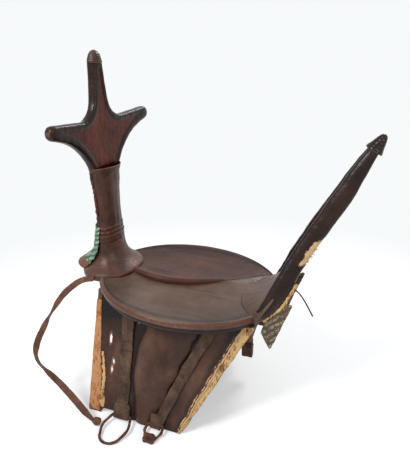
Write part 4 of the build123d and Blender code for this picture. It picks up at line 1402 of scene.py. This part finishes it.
        def sweep(across: float, along: float) -> Vector:
            """Place a point of the bib, from one side round the front to the other."""
            height = self.bib_rows[0][0] + (self.bib_rows[-1][0] - self.bib_rows[0][0]) * along
            deep, wide, turn = (
                profile([(row[0], row[column]) for row in self.bib_rows], height) for column in (1, 2, 3)
            )
            angle = math.radians(turn) * (2 * across - 1)
            waver = 1.0 + 0.03 * noise.noise(Vector((across * 5, along * 4, 2.0)))
            sag = 3.0 * noise.noise(Vector((across * 9, 0.5, 7.0))) * (1 - along) ** 4
            return self.point(-deep * waver * math.cos(angle), wide * waver * math.sin(angle), height + sag)

        bib = mapped("painted_bib", 90, 70, sweep)
        thicken(bib, 2.2)
        self.seat_piece(bib, Finish.GREEN, "root", "painted_hide", ["pommel_bib"])

    def build(self) -> None:
        """Make the whole pommel."""
        self.build_sleeve()
        self.build_cross()
        self.build_foot()
        self.dress_nodes(("pommel_core", "pommel_peg"), Finish.WOOD)


@dataclass
class Cantle(Saddle):
    """The tall leaning back with its two thick rails, in millimetres."""

    top: tuple[float, float, float] = (SEAT_X + 352.0, 0.0, 592.0)
    lean: float = math.atan2(22.9, 42.6)
    hood_shape: tuple = ((-5.0, 16.6), (-2.0, 15.6), (3.0, 13.6), (9.0, 11.6), (16.0, 9.6), (22.0, 7.4),
                         (26.0, 4.8), (28.0, 0.0))
    tear_low: float = 372.0
    tear_high: float = 424.0

    def hood(self) -> bpy.types.Object:
        """Make the arrow-shaped hood with its flared skirt on the cantle's top."""
        ahead = Vector((math.cos(self.lean), 0, -math.sin(self.lean)))
        upward = Vector((math.sin(self.lean), 0, math.cos(self.lean)))
        low = self.hood_shape[0][0]
        high = self.hood_shape[-1][0]

        def place(across: float, along: float) -> Vector:
            """Place a point of the hood round its line and towards its tip."""
            angle = 2 * math.pi * across
            spot = Vector((math.cos(angle), math.sin(angle), 0))
            height = low + (high - low) * along
            radius = profile(self.hood_shape, height) * (1 + 0.05 * noise.noise(spot * 1.5 + Vector((0, 0, along * 2))))
            height += 2.4 * (1 - along) ** 5 * noise.noise(spot * 1.2)
            return (
                Vector(self.top) + ahead * radius * math.cos(angle) + Vector((0, radius * math.sin(angle), 0))
                + upward * height
            ) * MM

        piece = mapped("cantle_hood", 72, 48, place, closed=True, marks={
            "wear": lambda across, along: 0.8 - along * 7 if along < 0.5 else (along - 0.6) * 1.5,
            # A darker ring a quarter of the way up.
            "grime_and_shade": lambda across, along: 0.5 * math.exp(-((along - 0.25) / 0.08) ** 2),
        })
        thicken(piece, 2.0)
        return piece

    def torn_back(self, place: Vector) -> float:
        """Say how torn the near rail's rear is at a place in metres."""
        height = place.z / MM
        if place.y > 0 or not self.tear_low - 12 < height < self.tear_high + 12:
            return 0.0
        line = SEAT_X + 176.0 + (height - 264.0) * 176.0 / 328.0
        behind = (place.x / MM - line) / 14.0
        edge = min(1.0, (height - self.tear_low + 10) / 18.0, (self.tear_high + 10 - height) / 18.0)
        wander = 0.5 * rough_noise(place, 16.0, 4.0)
        return max(0.0, min(1.0, (behind + wander) * 1.6)) * max(0.0, edge)

    def build(self) -> None:
        """Make the rails, panels, cap, apron and flaps."""
        for index, side_name in enumerate(("left", "right")):
            rail = softened(
                f"cantle_roll_{side_name}", [self.nodes[f"cantle_rail_{side_name}"]], 2.0, 7, 1.0, 40.0, index + 1.0,
                wear=1.6, swell=0.3, torn=self.torn_back,
            )
            self.seat_piece(rail, Finish.RAIL, "root", "dark_hide", [f"cantle_rail_{side_name}"])
            welt = softened(
                f"cantle_bead_{side_name}", [self.nodes[f"cantle_welt_{side_name}"]], 0.9, 2, 1.3, 7.0, index + 4.0
            )
            self.seat_piece(welt, Finish.CREAM, "root", "worn_hide", [f"cantle_welt_{side_name}"])
            flap = softened(
                f"painted_flap_{side_name}", [self.nodes[f"rear_flap_{side_name}"]], 0.9, 2, 0.8, 16.0, index + 7.0
            )
            self.seat_piece(flap, Finish.OLIVE, f"rear_flap_{side_name}", "painted_hide", [f"rear_flap_{side_name}"])
        near = self.nodes["cantle_rail_left"].data
        roots = [
            vert.co.copy() for vert in near.vertices
            if self.torn_back(vert.co) > 0.55 and vert.co.z < 0.41
        ][::9][:40]
        shreds = fibres("torn_rail_fibres", roots, [Vector((0.9, -0.35, -0.2))] * len(roots), 8.0, 0.5, 3.0)
        self.seat_piece(shreds, Finish.CREAM, "root", "rawhide")
        self.seat_piece(self.hood(), Finish.RAIL, "root", "dark_hide", ["cantle_cap"])
        # The apron takes the copy of the seat hide with painted sheen.
        apron = softened("seat_apron", [self.nodes["cantle_apron"]], 1.8, 5, 0.7, 30.0, 5.0, wear=2.0)
        self.seat_piece(apron, Finish.SEAT_NEAR_SHEEN, "root", "seat_hide", ["cantle_apron"])
        self.dress_nodes(("cantle_front_panel", "cantle_back_panel"), Finish.PANEL)
        self.dress_nodes(("cantle_core", "cantle_peg"), Finish.WOOD)


@dataclass
class Sides(Saddle):
    """Splayed legs, curved boards, hides, bindings and straps on both sides, in millimetres.

    Places on a side are given behind the seat's middle and up the slope from the floor.
    """

    spread: float = 168.0
    splay: float = math.radians(16.2)
    top: float = 268.0
    columns: int = 190
    rows: int = 140
    front_edge: tuple = ((0.0, -152.0), (77.0, -152.0), (150.0, -160.0), (268.0, -166.5))
    board_front: tuple = ((0.0, -62.0), (31.0, -68.0), (110.0, -77.0), (164.0, -72.0), (215.0, -58.0),
                          (268.0, -48.0))
    board_back: tuple = ((0.0, -27.0), (77.0, -12.0), (134.0, 2.0), (188.0, 14.0), (221.0, 46.0), (268.0, 70.0))
    bulge_back: tuple = ((0.0, -24.0), (77.0, 6.0), (134.0, 27.0), (188.0, 48.0), (221.0, 62.0), (268.0, 78.0))
    board_height: tuple = ((0.0, 8.0), (60.0, 14.0), (140.0, 20.0), (200.0, 18.0), (268.0, 11.0))
    tears: tuple = ((-136.5, 173.0, 2.6, 9.5), (-126.0, 123.0, 2.6, 5.0), (-129.0, 105.0, 2.3, 6.5))
    star: tuple[float, float] = (-72.0, 226.0)
    star_reach: float = 10.0
    strap_foot: float = -94.0
    strap_head: float = -97.0
    strap_half: float = 13.5
    fold_half: float = 18.0
    rear_foot: float = -12.0
    rear_head: float = 103.0
    rear_half: float = 11.0

    def point(self, x: float, up: float, out: float, side: int) -> Vector:
        """Place in metres of a point on the leaning side.

        Args:
            x: Behind the seat's middle.
            up: Up the slope from the floor.
            out: Out of the slope.
            side: -1 for the left side, 1 for the right one.

        Returns:
            The place in metres.
        """
        y = -self.spread + up * math.sin(self.splay) - out * math.cos(self.splay)
        z = up * math.cos(self.splay) + out * math.sin(self.splay)
        return Vector((SEAT_X + x, -side * y, z)) * MM

    def outward(self, side: int) -> Vector:
        """Direction out of the leaning side."""
        return self.point(0, 0, 1, side) - self.point(0, 0, 0, side)

    def rear_edge(self, up: float) -> float:
        """Rear edge of the rear leg at a height up the slope."""
        return 39.0 + (166.0 - 39.0) / 247.0 * up

    def hide_back(self, up: float, side: int) -> float:
        """Ragged rear edge of the brown hide at a height up the slope."""
        bare = 4.0 + 11.0 * max(0.0, min(1.0, up / 230.0)) ** 1.3
        return self.rear_edge(up) - bare + 3.4 * rough_noise(Vector((0.3, up * MM, side)), 24.0)

    def arch(self, x: float, up: float) -> float:
        """How far up the curved board's arch a place is, from 0 at its edges to 1, or below 0 beside it."""
        first, last = profile(self.board_front, up), profile(self.bulge_back, up)
        shares = [(x - first) / (profile(line, up) - first) for line in (self.board_back, self.bulge_back)]
        inside = [(1 - (2 * share - 1) ** 2) ** 0.7 for share in shares if 0.0 < share < 1.0]
        return max(inside) if inside else -min(abs(x - first), abs(x - last))

    def cover_out(self, x: float, up: float) -> float:
        """How far the hide stands out of the slope at a place."""
        arch = self.arch(x, up)
        wave = 0.7 * rough_noise(Vector((x * MM, up * MM, 0)), 60.0, 2.0)
        if arch > 0:
            return 1.4 + (profile(self.board_height, up) + wave) * arch
        return 3.0 + wave * (1 - math.exp(-(arch / 8.0) ** 2)) - 1.6 * math.exp(-(arch / 6.0) ** 2)

    def torn_distance(self, x: float, up: float) -> float:
        """Distance from the nearest tear, as shares of its size."""
        wander = 0.3 * rough_noise(Vector((x * MM, up * MM, 0.1)), 6.0, 7.0)
        return min(
            math.hypot((x - tear_x) / wide, (up - tear_up) / tall) + wander
            for tear_x, tear_up, wide, tall in self.tears
        )

    def cover(self, side: int, side_name: str) -> bpy.types.Object:
        """Make the hide over one side, with tears near its front edge.

        Args:
            side: -1 for the left side, 1 for the right one.
            side_name: The side's name.

        Returns:
            The piece.
        """

        def spot(across: float, along: float) -> tuple[float, float]:
            """Return the place behind the middle and up the slope."""
            up = 2.5 + (self.top - 2.5) * along
            front = profile(self.front_edge, up) + 1.5 * noise.noise(Vector((0, up * 0.08, side)))
            x = front + (self.hide_back(up, side) - front) * across
            if up < 14.0 and -150.0 < x < -112.0:
                up += (14.0 - up) * 0.9 * min(1.0, (x + 150.0) / 6.0, (-112.0 - x) / 6.0)
            return x, up

        def place(across: float, along: float) -> Vector:
            """Place a point of the hide."""
            x, up = spot(across, along)
            curl = 3.2 * max(0.0, (across - 0.975) / 0.025) ** 1.5 + 1.2 * math.exp(-(across / 0.01) ** 2)
            puff = 1.3 * max(0.0, 2.2 - self.torn_distance(x, up))
            return self.point(x, up, self.cover_out(x, up) + curl + puff, side)

        def side_shade_and_grime(across: float, along: float) -> float:
            """Say how much painted shade darkens the hide: in the grooves beside the board's arch, in the recesses
            beside the straps, under the seat and beside the rear edge, and towards the floor; a little noise adds real
            grime.
            """
            x, up = spot(across, along)
            arch = self.arch(x, up)
            # Painted shade in grooves, recesses and under the seat.
            groove = (1 - arch) ** 2 * 0.85 if arch > 0 else 0.95 * math.exp(-(arch / 12.0) ** 2)
            shade = max(0.0, min(1.0, (up - 60.0) / 70.0))
            recess = shade if arch <= 0 and -90 < x < -45 else 0.0
            ahead = 0.85 * max(0.0, min(1.0, (up - 160.0) / 60.0)) if x < -100 else 0.0
            high = 0.95 * math.exp(-(arch / 20.0) ** 2) if arch <= 0 and x > -30 else 0.0
            under = 0.7 * max(0.0, (up - 215.0) / 30.0)
            edge = 0.7 * math.exp(-((across - 0.955) / 0.03) ** 2)
            low = 0.25 * max(0.0, 1 - up / 40.0)
            return groove + recess + ahead + high + under + edge + low + 0.2 * rough_noise(Vector((x * MM, up * MM, 0)), 40.0, 5.0)

        def worn_and_lit(across: float, along: float) -> float:
            """Say how much the worn colour shows: real wear at its rear edge, its foot and its tears, and a painted
            highlight on the top of the board's arch.
            """
            x, up = spot(across, along)
            tear = 2.6 - self.torn_distance(x, up)
            # The arch term is a painted highlight on the board's bulge.
            return max((across - 0.95) * 16, (0.05 - along) * 9, tear, 0.25 * self.arch(x, up))

        hide = mapped(
            f"side_hide_{side_name}", self.columns, self.rows, place,
            marks={
                "wear": worn_and_lit, "grime_and_shade": side_shade_and_grime,
                "torn": lambda across, along: max(
                    (across - 0.972) * 36, 1.6 - self.torn_distance(*spot(across, along)), (0.008 - across) * 60
                ),
            },
            cut=lambda across, along: self.torn_distance(*spot(across, along)) < 1.0,
        )
        thicken(hide, 2.2)
        return hide

    def plank(self, side: int, side_name: str) -> bpy.types.Object:
        """Make the curved wooden board that the hide lies on.

        Args:
            side: -1 for the left side, 1 for the right one.
            side_name: The side's name.

        Returns:
            The piece.
        """

        def place(across: float, along: float) -> Vector:
            """Place a point of the board's face."""
            up = 3.0 + (self.top - 6.0) * along
            first, last = profile(self.board_front, up) + 2.0, profile(self.board_back, up) - 2.0
            x = first + (last - first) * across
            return self.point(x, up, self.cover_out(x, up) - 3.4, side)

        board = mapped(f"curved_board_{side_name}", 40, 60, place)
        faced = sum(face.area * face.normal.dot(self.outward(side)) for face in board.data.polygons)
        if faced < 0:
            board.data.flip_normals()
        thicken(board, 10.0)
        return board

    def raw_edge(self, side: int, side_name: str) -> bpy.types.Object:
        """Make the pale raw hide that wraps the rear leg behind the brown hide.

        Args:
            side: -1 for the left side, 1 for the right one.
            side_name: The side's name.

        Returns:
            The piece.
        """

        def place(across: float, along: float) -> Vector:
            """Place a point of the strip, from under the brown hide to behind the leg."""
            up = 8.0 + 246.0 * along
            inner = self.hide_back(up, side) - 7.0
            outer = self.rear_edge(up) + 1.2 + 1.4 * rough_noise(Vector((0.1, up * MM, side)), 12.0, 3.0)
            ripple_out = 0.9 * rough_noise(Vector((across * 0.02, up * MM, 0)), 9.0, 8.0)
            if across < 0.6:
                share = across / 0.6
                return self.point(inner + (outer - inner) * share, up, 1.6 + ripple_out - 0.8 * share ** 3, side)
            share = (across - 0.6) / 0.4
            return self.point(outer + 0.6 * math.sin(share * 3.1), up, 0.8 + ripple_out - 14.0 * share, side)

        strip = mapped(f"rear_edge_{side_name}", 46, 170, place)
        thicken(strip, 1.6)
        return strip

    def post(self, side: int, side_name: str) -> bpy.types.Object:
        """Make the orange-brown hide round the front edge of the front leg.

        Args:
            side: -1 for the left side, 1 for the right one.
            side_name: The side's name.

        Returns:
            The piece.
        """

        def place(across: float, along: float) -> Vector:
            """Place a point of the binding, from its inner lap round the leg's edge."""
            up = 3.0 + 249.0 * along
            edge = profile(self.front_edge, up) + 2.5
            outer = -179.4 + 1.0 * rough_noise(Vector((0.2, up * MM, side)), 30.0, 1.0)
            if across < 0.5:
                share = across / 0.5
                return self.point(edge + (outer - edge) * share, up, 1.4 - 0.5 * share ** 4, side)
            share = (across - 0.5) / 0.5
            return self.point(outer + 0.5 * share, up, 0.9 - 14.5 * share, side)

        piece = mapped(f"front_edge_{side_name}", 36, 150, place, marks={
            "wear": lambda across, along: 0.8 * math.exp(-((across - 0.5) / 0.1) ** 2)
        })
        thicken(piece, 1.5)
        return piece

    def strap(self, name: str, foot: float, head: float, bow: float, half: float, side: int, seed: float) -> bpy.types.Object:
        """Make one flat strap down the side.

        Args:
            name: The piece's name.
            foot: Its middle at the floor.
            head: Its middle at the seat.
            bow: How far its middle hangs forward of the straight line.
            half: Half its width.
            side: -1 for the left side, 1 for the right one.
            seed: Moves the noise.

        Returns:
            The piece.
        """
        lowest, highest = 5.0, 264.0
        points = []
        for step in range(14):
            share = step / 13
            up = lowest + (highest - lowest) * share
            x = foot + (head - foot) * share - bow * math.sin(math.pi * share)
            wave = 0.6 * math.sin(share * 7.0 + seed)
            points.append(self.point(x, up, 6.6 + 3.0 * max(0.0, 1 - share * 9) + wave, side))
        out = self.outward(side)
        return band(name, Route(points), lambda share: half + 0.6 * math.sin(share * 23 + seed), 2.1,
                    lambda share: out, 120, ragged=1.0, bumps=0.6, seed=seed)

    def end_block(self, name: str, foot: float, half: float, height: float, side: int, seed: float) -> bpy.types.Object:
        """Make the folded and sewn end of a strap.

        Args:
            name: The piece's name.
            foot: Its middle behind the seat's middle.
            half: Half its width.
            height: Its length up the slope.
            side: -1 for the left side, 1 for the right one.
            seed: Moves the noise.

        Returns:
            The piece.
        """
        points = [self.point(foot, 4.6 + height * share, 9.6, side) for share in (0, 0.25, 0.5, 0.75, 1.0)]
        out = self.outward(side)

        def width(share: float) -> float:
            """Half the block's width, with its upper corners drawn in."""
            return half * (1 - 0.14 * max(0.0, share - 0.8) * 5)

        return band(name, Route(points), width, 5.4, lambda share: out, 44, ragged=0.9, bumps=0.7, seed=seed,
                    square=0.5, columns=30)

    def stitches(self, side: int, side_name: str) -> bpy.types.Object:
        """Make the waxed stitches across the front strap and its folded end.

        Args:
            side: -1 for the left side, 1 for the right one.
            side_name: The side's name.

        Returns:
            The piece.
        """
        mesh = bmesh.new()
        rows = ((self.strap_head - 1.0, 155.0, 10.5, 9.0), (self.strap_foot, 33.0, 13.0, 15.2))
        out = self.outward(side).normalized()
        turn = out.to_track_quat("Z", "Y").to_matrix().to_4x4()
        for middle, up, reach, height in rows:
            for step in range(6):
                x = middle - reach + 2 * reach * step / 5
                place = self.point(x, up + 0.6 * (-1) ** step, height, side)
                shape = Matrix.Diagonal((1.7 * MM, 0.6 * MM, 0.5 * MM, 1.0))
                bmesh.ops.create_icosphere(
                    mesh, subdivisions=2, radius=1.0, matrix=Matrix.Translation(place) @ turn @ shape
                )
        return link(f"strap_stitches_{side_name}", mesh)

    def flake(self, side: int, side_name: str) -> bpy.types.Object:
        """Make the small torn star of hide that stands off under the seat's rim.

        Args:
            side: -1 for the left side, 1 for the right one.
            side_name: The side's name.

        Returns:
            The piece.
        """
        middle, up = self.star
        mesh = bmesh.new()
        bmesh.ops.create_circle(mesh, cap_ends=True, segments=10, radius=1.0)
        for index, vert in enumerate(mesh.verts):
            reach = self.star_reach * (1.0 if index % 2 else 0.45) * (1 + 0.25 * math.sin(index * 2.4))
            spot = vert.co.normalized() * reach
            vert.co = self.point(middle + spot.x, up + spot.y, 4.6 + (1.8 if index % 2 else 0.0), side)
        bmesh.ops.solidify(mesh, geom=mesh.faces, thickness=1.2 * MM)
        bmesh.ops.recalc_face_normals(mesh, faces=mesh.faces)
        return link(f"torn_star_{side_name}", mesh)

    def build(self) -> None:
        """Make both sides."""
        for side, side_name in ((-1, "left"), (1, "right")):
            hide = self.cover(side, side_name)
            self.seat_piece(hide, Finish.SIDE, "root", "side_hide", [f"side_cover_{side_name}"])
            self.seat_piece(
                self.plank(side, side_name), Finish.WOOD, "root", "carved_wood", [f"side_board_{side_name}"]
            )
            front = self.strap(
                f"front_strap_band_{side_name}", self.strap_foot, self.strap_head, 0.0, self.strap_half, side, 1.0
            )
            self.seat_piece(front, Finish.STRAP, "root", "strap_hide", [f"front_strap_{side_name}"])
            fold = self.end_block(
                f"front_strap_fold_{side_name}", self.strap_foot, self.fold_half, 33.0, side, 4.0
            )
            self.seat_piece(fold, Finish.STRAP, "root", "strap_hide")
            rear = self.strap(
                f"rear_strap_band_{side_name}", self.rear_foot, self.rear_head, 5.0, self.rear_half, side, 2.0
            )
            self.seat_piece(rear, Finish.STRAP, "root", "strap_hide", [f"rear_strap_{side_name}"])
            rear_fold = self.end_block(f"rear_strap_fold_{side_name}", self.rear_foot, 12.8, 30.0, side, 6.0)
            self.seat_piece(rear_fold, Finish.STRAP, "root", "strap_hide")
            self.seat_piece(self.stitches(side, side_name), Finish.RIM, "root", "strap_hide")
            self.seat_piece(self.flake(side, side_name), Finish.ORANGE, "root", "side_hide")
            self.seat_piece(
                self.post(side, side_name), Finish.ORANGE, "root", "rawhide", [f"front_binding_{side_name}"]
            )
            self.seat_piece(
                self.raw_edge(side, side_name), Finish.CREAM, "root", "rawhide", [f"rear_rawhide_{side_name}"]
            )
            ups = [12.0 + 230.0 * step / 80 for step in range(80)]
            roots = [self.point(self.hide_back(up, side) - 1.0, up, 3.6, side) for up in ups]
            ways = [self.point(1.0, 0.0, 0.5, side) - self.point(0, 0, 0, side)] * len(roots)
            shreds = fibres(f"rear_edge_fibres_{side_name}", roots, ways, 6.0, 0.45, side + 4.0)
            self.seat_piece(shreds, Finish.CREAM, "root", "rawhide")
            line = [self.point(profile(self.front_edge, up) + 6.5, up, 4.2, side)
                    for up in (16.0, 40.0, 65.0, 90.0, 115.0, 140.0)]
            out = self.outward(side)
            frayed = band(
                f"front_fray_{side_name}", Route(line), lambda share: 5.6 - 3.4 * share, 0.8,
                lambda share: out, 120, ragged=3.0, bumps=0.6, seed=side + 8.0,
            )
            self.seat_piece(frayed, Finish.CREAM, "root", "rawhide")
            self.dress_nodes((f"front_leg_{side_name}", f"rear_leg_{side_name}"), Finish.WOOD)
        hanging = softened("crupper_strap_band", [self.nodes["crupper_strap"]], 1.2, 3, 1.0, 24.0, 9.0)
        self.seat_piece(hanging, Finish.STRAP, "root", "strap_hide", ["crupper_strap"])
        self.dress_nodes(("front_bridge", "rear_bridge"), Finish.WOOD)


@dataclass
class Rings(Saddle):
    """Thong rings and loops that hinge in the strap ends. Voxels are in millimetres."""

    voxel: float = 0.8

    def build(self) -> None:
        """Make the rings and the rear loops with their leather toggles."""
        for side_name in ("left", "right"):
            ring = softened(
                f"girth_ring_{side_name}", [self.nodes[f"front_ring_{side_name}"]], self.voxel, 3, 0.6, 12.0, 2.0,
                wear=2.0,
            )
            self.seat_piece(ring, Finish.THONG, f"front_ring_{side_name}", "thong_hide", [f"front_ring_{side_name}"])
            loop = softened(
                f"girth_loop_{side_name}", [self.nodes[f"rear_loop_{side_name}"]], self.voxel, 3, 0.9, 9.0, 5.0,
                wear=3.0,
            )
            self.seat_piece(loop, Finish.THONG, f"rear_loop_{side_name}", "thong_hide", [f"rear_loop_{side_name}"])


def main() -> None:
    """Build the saddle's looks piece by piece."""
    logging.basicConfig(level=logging.INFO, format="%(message)s")
    bpy.context.scene.view_settings.view_transform = "Standard"
    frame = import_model()
    finishes = Finishes()
    studio = Studio()
    studio.camera()
    nodes = frame["nodes"]
    Cords(nodes, finishes, studio.eye()).build()
    studio.backdrop()
    studio.lamps()
    for assembly in (Seat, Pommel, Cantle, Sides, Rings):
        assembly(nodes, finishes).build()
        log.info("%s done", assembly.__name__)


if __name__ == "__main__":
    main()
